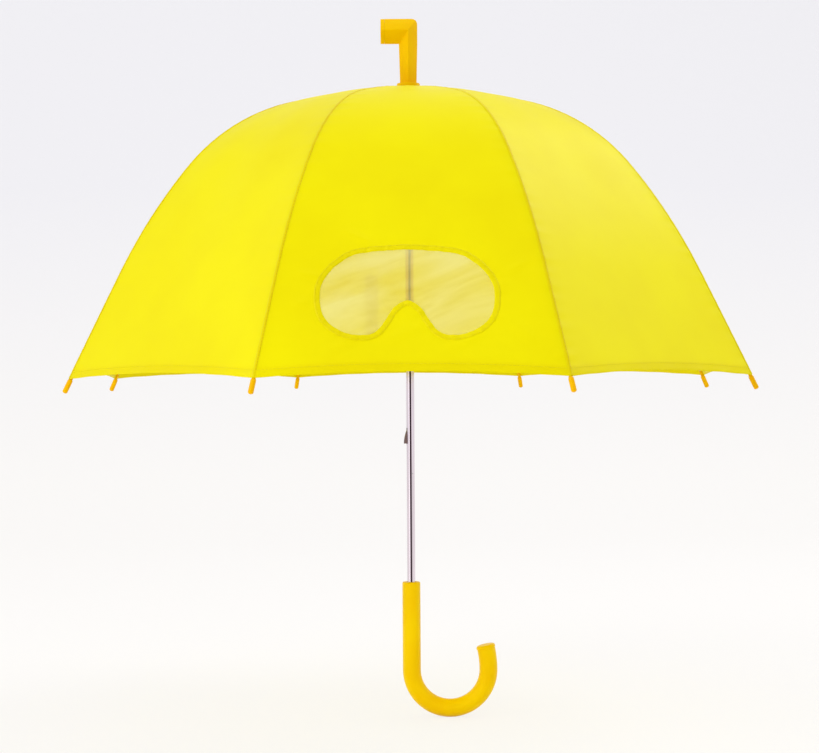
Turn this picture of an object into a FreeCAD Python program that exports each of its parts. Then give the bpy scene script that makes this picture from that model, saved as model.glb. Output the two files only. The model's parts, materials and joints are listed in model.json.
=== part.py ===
"""Children's umbrella with eight ribs, a goggle-shaped window, a hook handle and a periscope finial.

Millimetres, +Z up. The origin is on the shaft's axis at the middle of the straight grip. The umbrella is
open. A spoke frame has +X pointing out from the shaft, +Y along the rim and +Z up, and each rib and each
panel is drawn in it once and turned to its place. A slope is the angle of a line below the horizontal.
"""
import FreeCAD
import Part

import math
import os

from FreeCAD import Placement, Rotation, Vector

# Heights of the main levels
NOTCH_PIVOT_Z = 533.0
GRIP_LENGTH = 88.0

# Shaft tube and its fits
SHAFT_R = 4.0
SHAFT_WALL = 0.6
FIXED_FIT = 0.02
HINGE_FIT = 0.05
RUNNER_FIT = 0.10
CLOTH_GAP = 0.40

# Handle
HANDLE_R = 9.0
HANDLE_SOCKET_DEPTH = 40.0
HANDLE_RIM_ROUND = 1.5
HOOK_R = 38.3
HOOK_TURN = 180.0
HOOK_LIP_R = 100.0
HOOK_LIP_TURN = 12.4
PLUG_OVERHANG = 0.5
PLUG_THICKNESS = 3.2
PLUG_ROUND = 2.2
PLUG_STEM_R = 3.0
PLUG_STEM_LENGTH = 8.0
PLUG_STEM_END_GAP = 1.0

# Ribs: eight rods of steel wire, drawn as tangent arcs from the pivot to the hem
RIB_COUNT = 8
FIRST_RIB_AZIMUTH = 22.5
PIVOT_RADIUS = 9.0
RIB_WIRE_R = 1.3
RIB_CROWN_ARC = 113.4
RIB_SHOULDER_ARC = 126.0
RIB_SIDE_ARC = 125.5
RIB_SKIRT_LENGTH = 105.7
RIB_START_SLOPE = 3.9
CROWN_SLOPE = 14.0
SHOULDER_SLOPE = 50.6
RIM_SLOPE = 63.7
EYE_R = 2.3
EYE_WIDTH = 2.6
PIN_R = 0.9

# Rib joints: a clip on the rib with a lug and a rivet
JOINT_AT = 173.0
JOINT_DROP = 5.0
CLIP_LENGTH = 9.0
CLIP_WALL = 0.5
CLIP_FLOOR = 0.9
CLIP_TOP = 0.4
CLIP_FIT = 0.12
LUG_WIDTH = 1.8
RIVET_HEAD_R = 1.5
RIVET_HEAD = 0.4
RIVET_HEAD_GAP = 0.1

# Rib tips: a sleeve under the corner of the cloth and a bead beyond the hem
TIP_R = 2.4
TIP_NECK_R = 2.0
TIP_NECK_LENGTH = 1.4
TIP_LENGTH = 13.5
TIP_ROUND = 1.7
TIP_SLEEVE_LENGTH = 6.5
TIP_SLEEVE_GAP = 0.04
TIP_HEM_GAP = 0.3
TIP_SOCKET = 10.0
TIP_SHAFT_GAP = 3.0

# Stretchers: folded steel channels
CHANNEL_WIDTH = 3.6
CHANNEL_HEIGHT = 3.2
CHANNEL_WALL = 0.6
FORK_LENGTH = 7.0
TONGUE_LENGTH = 14.0
CHANNEL_STOP = 7.0

# Combs: slotted discs on the notch and on the runner
COMB_R = 12.0
COMB_HEIGHT = 7.0
COMB_SLOT_WIDTH = 3.2
COMB_SLOT_R = 6.4
COMB_PIN_GRIP = 1.5
NOTCH_COLLAR_R = 6.2
NOTCH_COLLAR = 5.5
NOTCH_RIVET_R = 0.7

# Runner
RUNNER_BARREL_R = 6.8
RUNNER_DROP = 51.3
RUNNER_COLLAR_R = 10.5
RUNNER_COLLAR = 3.0
RUNNER_SLOT_ABOVE_END = 5.7
RUNNER_SLOT_LENGTH = 18.6
STOP_RING_R = 5.6
STOP_RING = 3.0
STOP_RING_GAP = 0.25

# Spring catches
CATCH_AZIMUTH = 205.0
CATCH_THICKNESS = 1.6
CATCH_REACH = 7.0
CATCH_NOSE = 15.0
CATCH_NOSE_INNER = 2.0
CATCH_BULGE = 0.9
CATCH_ARM = 30.0
CATCH_LEG_INNER = 0.6
CATCH_LEG_GAP = 0.3
CATCH_LEG_WIDE = 6.0
CATCH_FOOT_HALF = 1.1
CATCH_PIN_R = 0.6
CATCH_EYE_R = 1.7
CATCH_SHOULDER_GAP = 0.3
CATCH_SLOT_SIDE = 0.2
CATCH_SLOT_END = 0.5

# Canopy
CLOTH = 0.6
CLOTH_ABOVE_RIB = 1.75
CLOTH_START_SLOPE = 6.33
CLOTH_CROWN_EXTRA = 2.8
SEAM_GAP = 0.4
HEM_RISE = 5.0
HEM_TRIM = 6.0

# Window in one panel: half of its outline, from the middle of the top edge round to the nose, as
# sideways distance and height above the hem's corners, and its mirror image
WINDOW_PANEL = 6
WINDOW_SHIFT = 3.6
WINDOW_HALF = (
    (0.0, 109.8),
    (32.0, 107.8),
    (49.0, 103.6),
    (64.0, 92.3),
    (72.5, 79.5),
    (74.3, 66.5),
    (71.6, 52.5),
    (63.5, 42.5),
    (50.6, 35.9),
    (37.0, 34.0),
    (26.0, 37.3),
    (18.5, 46.0),
    (11.0, 57.5),
    (0.0, 64.0),
)
BINDING_WIDTH = 4.2
BINDING = 0.5

# Tie strap on the panel opposite the window
STRAP_PANEL = 2
STRAP_SIDE = 42.0
STRAP_WIDTH = 15.0
STRAP_BOTTOM = 14.0
STRAP_TOP = 118.0
STRAP = 0.6
STRAP_GAP = 0.02
SNAP_R = 5.5
SNAP_HEIGHT = 1.8
SNAP_ABOVE_END = 10.0

# Periscope finial
FLANGE_R = 11.5
FLANGE_HEIGHT = 3.4
COLUMN_BASE_HALF = 8.25
COLUMN_TOP_HALF = 9.25
COLUMN_HEIGHT = 39.8
HEAD_HALF_HEIGHT = 12.6
HEAD_REACH = 27.5
HEAD_CORNER_ROUND = 6.0
PERISCOPE_SOCKET = 22.0
BEZEL_LENGTH = 3.8
BEZEL_GROOVE = 0.35
BEZEL_RECESS = 1.5
BEZEL_RIM = 0.72
SPIGOT_SHARE = 0.60
SPIGOT_LENGTH = 1.6

# Values worked out from the ones above
HALF_PANEL = 180.0 / RIB_COUNT
SQUEEZE = math.cos(math.radians(HALF_PANEL))
SHAFT_INNER_R = SHAFT_R - SHAFT_WALL
CHEEK_R = CHANNEL_HEIGHT / 2
Y_AXIS = Vector(0, 1, 0)
X_AXIS = Vector(1, 0, 0)
Z_AXIS = Vector(0, 0, 1)
ORIGIN = Vector(0, 0, 0)
FAR = 1000.0
NEAR = 1e-6


def heading(slope):
    """Unit vector out along a spoke and down by the slope."""
    angle = math.radians(slope)
    return Vector(math.cos(angle), 0, -math.sin(angle))


def outward(slope):
    """Unit vector square to the heading, on the outer side of the canopy."""
    angle = math.radians(slope)
    return Vector(math.sin(angle), 0, math.cos(angle))


def arc_step(length, slope_a, slope_b):
    """How far an arc of this length carries a point while the slope changes."""
    turn = math.radians(slope_b - slope_a)
    if abs(turn) < NEAR:
        return heading(slope_a) * length
    return (outward(slope_b) - outward(slope_a)) * (length / turn)


def squeezed(point):
    """Where the straight line that joins two ribs at this point crosses the plane half-way between them."""
    return Vector(point.x * SQUEEZE, point.y, point.z)


def panel_normal(slope):
    """Unit vector square to the cloth in the middle of a panel, where the ribs have this slope."""
    down = squeezed(heading(slope))
    return Vector(-down.z, 0, down.x).normalize()


class Span:
    """One arc or straight stretch of a line in the spoke plane."""

    def __init__(self, start, slope_a, slope_b, length):
        self.start = start
        self.slope_a = slope_a
        self.slope_b = slope_b
        self.length = length

    def slope(self, distance):
        return self.slope_a + (self.slope_b - self.slope_a) * distance / self.length

    def at(self, distance, offset=0.0):
        slope = self.slope(distance)
        return self.start + arc_step(distance, self.slope_a, slope) + outward(slope) * offset

    def panel_edge(self, offset):
        """The span's parallel line as it crosses the middle of a panel, nearer the shaft than at a rib."""
        first, middle, last = [squeezed(self.at(share * self.length, offset)) for share in (0, 0.5, 1)]
        if self.slope_a == self.slope_b:
            return Part.LineSegment(first, last).toShape()
        return Part.Arc(first, middle, last).toShape()

    def rod(self, radius):
        """A round wire along the span."""
        circle = Part.Circle(self.start, heading(self.slope_a), radius)
        section = Part.Face(Part.Wire(circle.toShape()))
        if self.slope_a == self.slope_b:
            return section.extrude(heading(self.slope_a) * self.length)
        turn = self.slope_b - self.slope_a
        bend = self.length / math.radians(turn)
        centre = self.start - outward(self.slope_a) * bend
        return section.revolve(centre, Y_AXIS, turn)


def chain(start, slope, arcs):
    """Spans that follow each other, from (length, end slope) pairs."""
    spans = []
    for length, end_slope in arcs:
        spans.append(Span(start, slope, end_slope, length))
        start = start + arc_step(length, slope, end_slope)
        slope = end_slope
    return spans


def along(spans, distance):
    """The span at a distance along a chain, and the distance into that span."""
    for span in spans[:-1]:
        if distance <= span.length:
            return span, distance
        distance -= span.length
    return spans[-1], distance


# The rib's line, and the cloth's line a fixed distance above it from the rib's second arc on
NOTCH_PIVOT = Vector(PIVOT_RADIUS, 0, NOTCH_PIVOT_Z)
SHOULDER_ARCS = ((RIB_SHOULDER_ARC, SHOULDER_SLOPE), (RIB_SIDE_ARC, RIM_SLOPE))
RIB_ARCS = ((RIB_CROWN_ARC, CROWN_SLOPE),) + SHOULDER_ARCS + ((RIB_SKIRT_LENGTH, RIM_SLOPE),)
RIB_SPANS = chain(NOTCH_PIVOT, RIB_START_SLOPE, RIB_ARCS)
HEM_CORNER = RIB_SPANS[-1].at(RIB_SKIRT_LENGTH)
CLOTH_CROWN_LENGTH = RIB_CROWN_ARC + CLOTH_CROWN_EXTRA
CROWN_START = RIB_SPANS[1].start - arc_step(CLOTH_CROWN_LENGTH, CLOTH_START_SLOPE, CROWN_SLOPE)
CLOTH_ARCS = ((CLOTH_CROWN_LENGTH, CROWN_SLOPE),) + SHOULDER_ARCS
CLOTH_ARCS += ((RIB_SKIRT_LENGTH + HEM_TRIM, RIM_SLOPE),)
CLOTH_SPANS = chain(CROWN_START, CLOTH_START_SLOPE, CLOTH_ARCS)
CLOTH_TOP = CLOTH_ABOVE_RIB + CLOTH
CROWN_TOP_Z = CLOTH_SPANS[0].at(0, CLOTH_TOP).z

# The tip's bead starts just past the cloth's edge, and its sleeve fills the room under the cloth
TIP_START = CLOTH_TOP / math.tan(math.radians(RIM_SLOPE)) + TIP_HEM_GAP
CLOTH_TO_RIB = CLOTH_ABOVE_RIB * squeezed(panel_normal(RIM_SLOPE)).dot(outward(RIM_SLOPE))
TIP_SLEEVE_R = CLOTH_TO_RIB - TIP_SLEEVE_GAP

# The stretcher is as long as the joint is far from the rib's pivot, so the runner's pivots stay at the
# notch's pivot radius and the runner moves straight along the shaft
JOINT_SPAN, JOINT_INTO = along(RIB_SPANS, JOINT_AT)
JOINT_SLOPE = JOINT_SPAN.slope(JOINT_INTO)
JOINT = JOINT_SPAN.at(JOINT_INTO, -JOINT_DROP)
STRETCHER_LENGTH = (JOINT - NOTCH_PIVOT).Length
RUNNER_PIVOT = Vector(PIVOT_RADIUS, 0, 2 * JOINT.z - NOTCH_PIVOT_Z)
STRETCHER_RISE = math.degrees(math.asin((JOINT.z - RUNNER_PIVOT.z) / STRETCHER_LENGTH))


def fold_limit():
    """Angle by which the ribs fold until their tips lie beside the shaft."""
    tip_end = RIB_SPANS[-1].at(RIB_SKIRT_LENGTH + TIP_START + TIP_LENGTH)
    reach = tip_end - NOTCH_PIVOT
    resting_radius = SHAFT_R + TIP_R + TIP_SHAFT_GAP
    start = math.atan2(-reach.z, reach.x)
    folded = math.acos((resting_radius - PIVOT_RADIUS) / reach.Length)
    return math.degrees(folded - start)


FOLD = fold_limit()
RUNNER_TRAVEL = 2 * STRETCHER_LENGTH * (
    math.sin(math.radians(STRETCHER_RISE + FOLD)) - math.sin(math.radians(STRETCHER_RISE))
)
RUNNER_END_Z = RUNNER_PIVOT.z - RUNNER_DROP
RUNNER_BORE_R = SHAFT_R + RUNNER_FIT
TOP_CATCH_Z = RUNNER_END_Z - CATCH_SHOULDER_GAP
BOTTOM_CATCH_Z = RUNNER_END_Z + RUNNER_SLOT_ABOVE_END - RUNNER_TRAVEL + CATCH_SHOULDER_GAP
FLANGE_BOTTOM = CROWN_TOP_Z + CLOTH_GAP
PERISCOPE_BASE_Z = FLANGE_BOTTOM + FLANGE_HEIGHT
PERISCOPE_SHAFT_TOP = PERISCOPE_BASE_Z + PERISCOPE_SOCKET
SHAFT_BOTTOM = GRIP_LENGTH / 2 - HANDLE_SOCKET_DEPTH


def rib_azimuth(number):
    return FIRST_RIB_AZIMUTH + 2 * HALF_PANEL * (number - 1)


def panel_azimuth(number):
    return rib_azimuth(number) + HALF_PANEL


def turned(shape, azimuth):
    """A copy of a spoke's shape at its azimuth round the shaft."""
    copy = shape.copy()
    copy.rotate(ORIGIN, Z_AXIS, azimuth)
    return copy


def upright(radius, low, high):
    return Part.makeCylinder(radius, high - low, Vector(0, 0, low))


def cross_pin(radius, centre, width):
    """A pin along the rim direction, centred on a point."""
    return Part.makeCylinder(radius, width, centre - Y_AXIS * (width / 2), Y_AXIS)


def block(low, high):
    size = high - low
    return Part.makeBox(size.x, size.y, size.z, low)


def polygon(points):
    return Part.Face(Part.makePolygon(list(points) + [points[0]]))


def fused(shapes):
    return shapes[0].fuse(shapes[1:]).removeSplitter()


# Ribs, their joints and tips

def rib():
    rods = [span.rod(RIB_WIRE_R) for span in RIB_SPANS]
    stub = Part.makeCylinder(RIB_WIRE_R, TIP_START + TIP_SOCKET, HEM_CORNER, heading(RIM_SLOPE))
    body = fused(rods + [stub, cross_pin(EYE_R, NOTCH_PIVOT, EYE_WIDTH)])
    return body.cut(cross_pin(PIN_R + HINGE_FIT, NOTCH_PIVOT, 2 * EYE_WIDTH))


def rib_joint():
    """The clip under a rib, its lug and its rivet, drawn about the rib's own line and then placed."""
    half = CLIP_LENGTH / 2
    side = RIB_WIRE_R + CLIP_FIT + CLIP_WALL
    floor = -(RIB_WIRE_R + CLIP_FIT + CLIP_FLOOR)
    clip = block(Vector(-half, -side, floor), Vector(half, side, CLIP_TOP))
    bore_r = RIB_WIRE_R + CLIP_FIT
    wire_hole = Part.makeCylinder(bore_r, 2 * CLIP_LENGTH, Vector(-CLIP_LENGTH, 0, 0), X_AXIS)
    mouth = block(Vector(-CLIP_LENGTH, -bore_r, 0), Vector(CLIP_LENGTH, bore_r, FAR))
    clip = clip.cut(wire_hole).cut(mouth)
    rivet_centre = Vector(0, 0, -JOINT_DROP)
    lug_top = floor + CLIP_WALL / 2
    lug = block(Vector(-EYE_R, -LUG_WIDTH / 2, -JOINT_DROP), Vector(EYE_R, LUG_WIDTH / 2, lug_top))
    lug_end = cross_pin(EYE_R, rivet_centre, LUG_WIDTH)
    shank = cross_pin(PIN_R, rivet_centre, CHANNEL_WIDTH + 2 * RIVET_HEAD_GAP)
    heads = []
    for sign in (-1, 1):
        middle = sign * (CHANNEL_WIDTH / 2 + RIVET_HEAD_GAP + RIVET_HEAD / 2)
        heads.append(cross_pin(RIVET_HEAD_R, rivet_centre + Y_AXIS * middle, RIVET_HEAD))
    body = fused([clip, lug, lug_end, shank] + heads)
    body.Placement = Placement(JOINT_SPAN.at(JOINT_INTO), Rotation(Y_AXIS, JOINT_SLOPE))
    return body


def tip():
    """A sleeve on the rib and a bead with a neck and a rounded end, turned about the rib's line."""
    waist = TIP_LENGTH - TIP_ROUND
    profile = [(-TIP_SLEEVE_LENGTH, 0), (-TIP_SLEEVE_LENGTH, TIP_SLEEVE_R), (0, TIP_SLEEVE_R)]
    profile += [(0, TIP_NECK_R), (TIP_NECK_LENGTH, TIP_R), (waist, TIP_R)]
    points = [Vector(x, y, 0) for x, y in profile]
    edges = [Part.LineSegment(first, last).toShape() for first, last in zip(points[:-1], points[1:])]
    end_rim = Vector(TIP_LENGTH, TIP_R - TIP_ROUND, 0)
    corner = Vector(waist, TIP_R - TIP_ROUND, 0)
    bulge = corner + Vector(1, 1, 0).normalize() * TIP_ROUND
    nose = Vector(TIP_LENGTH, 0, 0)
    edges.append(Part.Arc(points[-1], bulge, end_rim).toShape())
    edges.append(Part.LineSegment(end_rim, nose).toShape())
    edges.append(Part.LineSegment(nose, points[0]).toShape())
    body = Part.Face(Part.Wire(edges)).revolve(ORIGIN, X_AXIS, 360)
    socket_length = TIP_SLEEVE_LENGTH + TIP_SOCKET + FIXED_FIT
    body = body.cut(Part.makeCylinder(RIB_WIRE_R + FIXED_FIT, socket_length, points[0], X_AXIS))
    body.Placement = Placement(RIB_SPANS[-1].at(RIB_SKIRT_LENGTH + TIP_START), Rotation(Y_AXIS, RIM_SLOPE))
    return body


def stretcher():
    """A channel from the rib joint to the runner, open underneath, drawn along +X and then placed."""
    half = CHANNEL_WIDTH / 2
    inner = half - CHANNEL_WALL
    body = block(Vector(0, -half, -CHEEK_R), Vector(STRETCHER_LENGTH - CHANNEL_STOP, half, CHEEK_R))
    body = fused([body, cross_pin(CHEEK_R, ORIGIN, CHANNEL_WIDTH)])
    body = body.cut(block(Vector(-FAR, -inner, -FAR), Vector(FAR, inner, CHEEK_R - CHANNEL_WALL)))
    body = body.cut(block(Vector(-FAR, -inner, -FAR), Vector(FORK_LENGTH, inner, FAR)))
    runner_end = Vector(STRETCHER_LENGTH, 0, 0)
    tongue = block(
        Vector(STRETCHER_LENGTH - TONGUE_LENGTH, -inner, -CHEEK_R), Vector(STRETCHER_LENGTH, inner, CHEEK_R)
    )
    body = fused([body, tongue, cross_pin(EYE_R, runner_end, 2 * inner)])
    body = body.cut(cross_pin(PIN_R + HINGE_FIT, runner_end, CHANNEL_WIDTH * 2))
    body = body.cut(cross_pin(PIN_R + HINGE_FIT, ORIGIN, CHANNEL_WIDTH * 2))
    body.Placement = Placement(JOINT, Rotation(Y_AXIS, -STRETCHER_RISE) * Rotation(Z_AXIS, 180))
    return body


# Notch and runner

def comb(pivot_z):
    """A disc round the shaft with a slot and a pin hole for each rib or stretcher."""
    disc = upright(COMB_R, pivot_z - COMB_HEIGHT / 2, pivot_z + COMB_HEIGHT / 2)
    half = COMB_SLOT_WIDTH / 2
    pin_room = comb_pin_length() + 2 * FIXED_FIT
    cutters = []
    for number in range(1, RIB_COUNT + 1):
        slot = block(Vector(COMB_SLOT_R, -half, 0), Vector(2 * COMB_R, half, FAR))
        cutters.append(turned(slot, rib_azimuth(number)))
        hole = cross_pin(PIN_R + FIXED_FIT, Vector(PIVOT_RADIUS, 0, pivot_z), pin_room)
        cutters.append(turned(hole, rib_azimuth(number)))
    return disc.cut(cutters)


def comb_pin_length():
    return COMB_SLOT_WIDTH + 2 * COMB_PIN_GRIP


def comb_pins(pivot_z):
    pin = cross_pin(PIN_R, Vector(PIVOT_RADIUS, 0, pivot_z), comb_pin_length())
    return Part.makeCompound([turned(pin, rib_azimuth(number)) for number in range(1, RIB_COUNT + 1)])


def notch_rivet_z():
    return NOTCH_PIVOT_Z - COMB_HEIGHT / 2 - NOTCH_COLLAR / 2


def notch_rivet(radius):
    length = 2 * NOTCH_COLLAR_R
    return Part.makeCylinder(radius, length, Vector(-length / 2, 0, notch_rivet_z()), X_AXIS)


def top_notch():
    low = NOTCH_PIVOT_Z - COMB_HEIGHT / 2
    collar = upright(NOTCH_COLLAR_R, low - NOTCH_COLLAR, low)
    body = fused([comb(NOTCH_PIVOT_Z), collar])
    bore = upright(SHAFT_R + FIXED_FIT, 0, FAR)
    return body.cut([bore, notch_rivet(NOTCH_RIVET_R + FIXED_FIT)])


def runner():
    top = RUNNER_PIVOT.z - COMB_HEIGHT / 2
    barrel = upright(RUNNER_BARREL_R, RUNNER_END_Z, top)
    collar = upright(RUNNER_COLLAR_R, RUNNER_END_Z, RUNNER_END_Z + RUNNER_COLLAR)
    body = fused([comb(RUNNER_PIVOT.z), barrel, collar])
    half = CATCH_THICKNESS / 2 + CATCH_SLOT_SIDE
    slot_low = RUNNER_END_Z + RUNNER_SLOT_ABOVE_END
    slot = block(Vector(0, -half, slot_low), Vector(FAR, half, slot_low + RUNNER_SLOT_LENGTH))
    return body.cut([upright(RUNNER_BORE_R, 0, FAR), turned(slot, CATCH_AZIMUTH)])


def runner_stop():
    low = RUNNER_PIVOT.z + COMB_HEIGHT / 2 + STOP_RING_GAP
    return upright(STOP_RING_R, low, low + STOP_RING).cut(upright(SHAFT_R + FIXED_FIT, 0, FAR))


# Spring catches: plates that swing on a pin inside the shaft. Drawn with the shoulder at height 0, the
# nose above it and the pin below it, and turned over for the upper one.

def catch_outline():
    """Nose with a flat shoulder and a bulging back, and the leg down to the pin."""
    leg_outer = SHAFT_INNER_R - CATCH_LEG_GAP
    shoulder = Vector(CATCH_REACH, 0, 0)
    nose_end = Vector(leg_outer, 0, CATCH_NOSE)
    chord = nose_end - shoulder
    middle = shoulder + chord * 0.5 + Vector(-chord.z, 0, chord.x).normalize() * -CATCH_BULGE
    pin = Vector(0, 0, -CATCH_ARM)
    foot = X_AXIS * CATCH_FOOT_HALF
    corners = [nose_end, Vector(CATCH_NOSE_INNER, 0, CATCH_NOSE), Vector(CATCH_LEG_INNER, 0, 0)]
    corners += [pin - foot, pin + foot, Vector(leg_outer, 0, -CATCH_LEG_WIDE)]
    corners += [Vector(leg_outer, 0, 0), shoulder]
    edges = [Part.Arc(shoulder, middle, nose_end).toShape()]
    for first, second in zip(corners[:-1], corners[1:]):
        edges.append(Part.LineSegment(first, second).toShape())
    return Part.Face(Part.Wire(edges))


def catch_plate():
    plate = catch_outline().extrude(Y_AXIS * CATCH_THICKNESS)
    plate.translate(Y_AXIS * (-CATCH_THICKNESS / 2))
    pin = Vector(0, 0, -CATCH_ARM)
    plate = fused([plate, cross_pin(CATCH_EYE_R, pin, CATCH_THICKNESS)])
    return plate.cut(cross_pin(CATCH_PIN_R + HINGE_FIT, pin, 2 * CATCH_THICKNESS))


def catch_placed(shape, shoulder_z, nose_up):
    """Puts a catch's shape at its height, with its nose above or below the shoulder."""
    copy = shape.copy()
    if not nose_up:
        copy.rotate(ORIGIN, X_AXIS, 180)
    copy.translate(Z_AXIS * shoulder_z)
    return turned(copy, CATCH_AZIMUTH)


def catch_pins():
    pin = cross_pin(CATCH_PIN_R, Vector(0, 0, -CATCH_ARM), 2 * SHAFT_R - SHAFT_WALL)
    lower = catch_placed(pin, BOTTOM_CATCH_Z, True)
    upper = catch_placed(pin, TOP_CATCH_Z, False)
    return Part.makeCompound([lower, upper])


def catch_cutters():
    """What the shaft loses to one catch: the nose's slot and the pin's two holes."""
    half = CATCH_THICKNESS / 2 + CATCH_SLOT_SIDE
    slot = block(Vector(0, -half, -CATCH_SLOT_END), Vector(2 * SHAFT_R, half, CATCH_NOSE + CATCH_SLOT_END))
    holes = cross_pin(CATCH_PIN_R + FIXED_FIT, Vector(0, 0, -CATCH_ARM), 4 * SHAFT_R)
    return Part.makeCompound([slot, holes])


def shaft_tube():
    body = upright(SHAFT_R, SHAFT_BOTTOM, PERISCOPE_SHAFT_TOP)
    body = body.cut(upright(SHAFT_INNER_R, -FAR, FAR))
    body = body.cut(catch_placed(catch_cutters(), BOTTOM_CATCH_Z, True))
    body = body.cut(catch_placed(catch_cutters(), TOP_CATCH_Z, False))
    return body.cut(notch_rivet(NOTCH_RIVET_R + FIXED_FIT))


# Handle

def hook_sweep(start, direction, centre, turn, radius):
    """A round bar bent about a centre in the plane of the hook, from down the grip towards +X."""
    section = Part.Face(Part.Wire(Part.Circle(start, direction, radius).toShape()))
    return section.revolve(centre, Y_AXIS * -1, turn)


def hook_end():
    """Where the handle's bar ends, and the way it points there."""
    straight_end = Vector(2 * HOOK_R, 0, -GRIP_LENGTH / 2)
    centre = straight_end - Vector(HOOK_LIP_R, 0, 0)
    angle = math.radians(HOOK_LIP_TURN)
    end = centre + Vector(math.cos(angle), 0, math.sin(angle)) * HOOK_LIP_R
    return end, Vector(-math.sin(angle), 0, math.cos(angle))


def handle():
    low = -GRIP_LENGTH / 2
    grip = upright(HANDLE_R, low, GRIP_LENGTH / 2)
    top_edges = [edge for edge in grip.Edges if edge.BoundBox.ZMin > GRIP_LENGTH / 2 - NEAR]
    grip = grip.makeFillet(HANDLE_RIM_ROUND, top_edges)
    bend = hook_sweep(Vector(0, 0, low), Vector(0, 0, -1), Vector(HOOK_R, 0, low), HOOK_TURN, HANDLE_R)
    lip_start = Vector(2 * HOOK_R, 0, low)
    lip_centre = lip_start - Vector(HOOK_LIP_R, 0, 0)
    lip = hook_sweep(lip_start, Z_AXIS, lip_centre, HOOK_LIP_TURN, HANDLE_R)
    body = fused([grip, bend, lip])
    end, direction = hook_end()
    hole_depth = PLUG_STEM_LENGTH + PLUG_STEM_END_GAP
    stem_hole = Part.makeCylinder(PLUG_STEM_R + FIXED_FIT, hole_depth, end, direction * -1)
    socket = upright(SHAFT_R + FIXED_FIT, SHAFT_BOTTOM, GRIP_LENGTH)
    return body.cut([socket, stem_hole])


def handle_end_plug():
    end, direction = hook_end()
    disc = upright(HANDLE_R + PLUG_OVERHANG, 0, PLUG_THICKNESS)
    rims = [edge for edge in disc.Edges if edge.BoundBox.ZMin > PLUG_THICKNESS - NEAR]
    disc = disc.makeFillet(PLUG_ROUND, rims)
    stem = upright(PLUG_STEM_R, -PLUG_STEM_LENGTH, 0)
    body = fused([disc, stem])
    body.Placement = Placement(end, Rotation(Z_AXIS, direction))
    return body


# Canopy

def band(inner, outer):
    """The cloth's section in the middle of a panel, between two distances from its line."""
    upper = [span.panel_edge(outer) for span in CLOTH_SPANS]
    lower = [span.panel_edge(inner) for span in CLOTH_SPANS]
    first = CLOTH_SPANS[0]
    last = CLOTH_SPANS[-1]
    hem_ends = [squeezed(last.at(last.length, offset)) for offset in (outer, inner)]
    crown_ends = [squeezed(first.at(0, offset)) for offset in (inner, outer)]
    closing = Part.LineSegment(*hem_ends).toShape()
    opening = Part.LineSegment(*crown_ends).toShape()
    return Part.Face(Part.Wire(upper + [closing] + lower[::-1] + [opening]))


def panel_layer(inner, outer):
    """A layer that runs straight from rib to rib."""
    section = band(inner, outer)
    reach = HEM_CORNER.x
    section.translate(Y_AXIS * -reach)
    return section.extrude(Y_AXIS * (2 * reach))


def panel_wedge():
    """The room between two ribs, above the hem's curve."""
    apex = SEAM_GAP / 2 / math.sin(math.radians(HALF_PANEL))
    reach = 2 * HEM_CORNER.x
    side = (reach - apex) * math.tan(math.radians(HALF_PANEL))
    wedge = polygon([Vector(apex, 0, 0), Vector(reach, -side, 0), Vector(reach, side, 0)])
    corner = HEM_CORNER.x * math.sin(math.radians(HALF_PANEL))
    left = Vector(0, -corner, HEM_CORNER.z)
    right = Vector(0, corner, HEM_CORNER.z)
    hem = Part.Arc(left, Vector(0, 0, HEM_CORNER.z + HEM_RISE), right).toShape()
    top_left = Vector(0, -corner, FAR)
    top_right = Vector(0, corner, FAR)
    sides = [Part.LineSegment(right, top_right), Part.LineSegment(top_right, top_left)]
    sides.append(Part.LineSegment(top_left, left))
    outline = Part.Face(Part.Wire([hem] + [side.toShape() for side in sides]))
    return wedge.extrude(Z_AXIS * FAR).common(outline.extrude(Vector(reach, 0, 0)))


def window_half(points):
    """Smooth curve through one half of the outline, level where it meets its mirror image."""
    curve = Part.BSplineCurve()
    curve.interpolate(points, InitialTangent=Y_AXIS, FinalTangent=Y_AXIS * -1)
    return curve


def window_face(margin):
    """The window's outline, grown by a margin, sewn a little to one side of the panel's middle."""
    half = [Vector(0, side, HEM_CORNER.z + height) for side, height in WINDOW_HALF]
    curve = window_half(half)
    grown = []
    for point in half:
        tangent = curve.tangent(curve.parameter(point))[0]
        grown.append(point + Vector(0, -tangent.z, tangent.y) * margin)
    side = window_half(grown).toShape()
    other_side = side.mirror(ORIGIN, Y_AXIS)
    face = Part.Face(Part.Wire([side, other_side]))
    return face.translated(Y_AXIS * -WINDOW_SHIFT)


def window_prism(margin):
    return window_face(margin).extrude(Vector(2 * HEM_CORNER.x, 0, 0))


def panel(number, blank):
    body = blank
    if number == WINDOW_PANEL:
        body = blank.cut(window_prism(0))
    return turned(body, panel_azimuth(number))


def window_film(blank):
    return turned(blank.common(window_prism(0)), panel_azimuth(WINDOW_PANEL))


def window_binding():
    layer = panel_layer(CLOTH_TOP, CLOTH_TOP + BINDING)
    ring = layer.common(window_prism(BINDING_WIDTH)).cut(window_prism(0))
    return turned(ring, panel_azimuth(WINDOW_PANEL))


def tie_strap():
    low = HEM_CORNER.z + STRAP_BOTTOM
    high = HEM_CORNER.z + STRAP_TOP
    half = STRAP_WIDTH / 2
    room = block(Vector(0, STRAP_SIDE - half, low), Vector(FAR, STRAP_SIDE + half, high))
    inner = CLOTH_TOP + STRAP_GAP
    return turned(panel_layer(inner, inner + STRAP).common(room), panel_azimuth(STRAP_PANEL))


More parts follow.
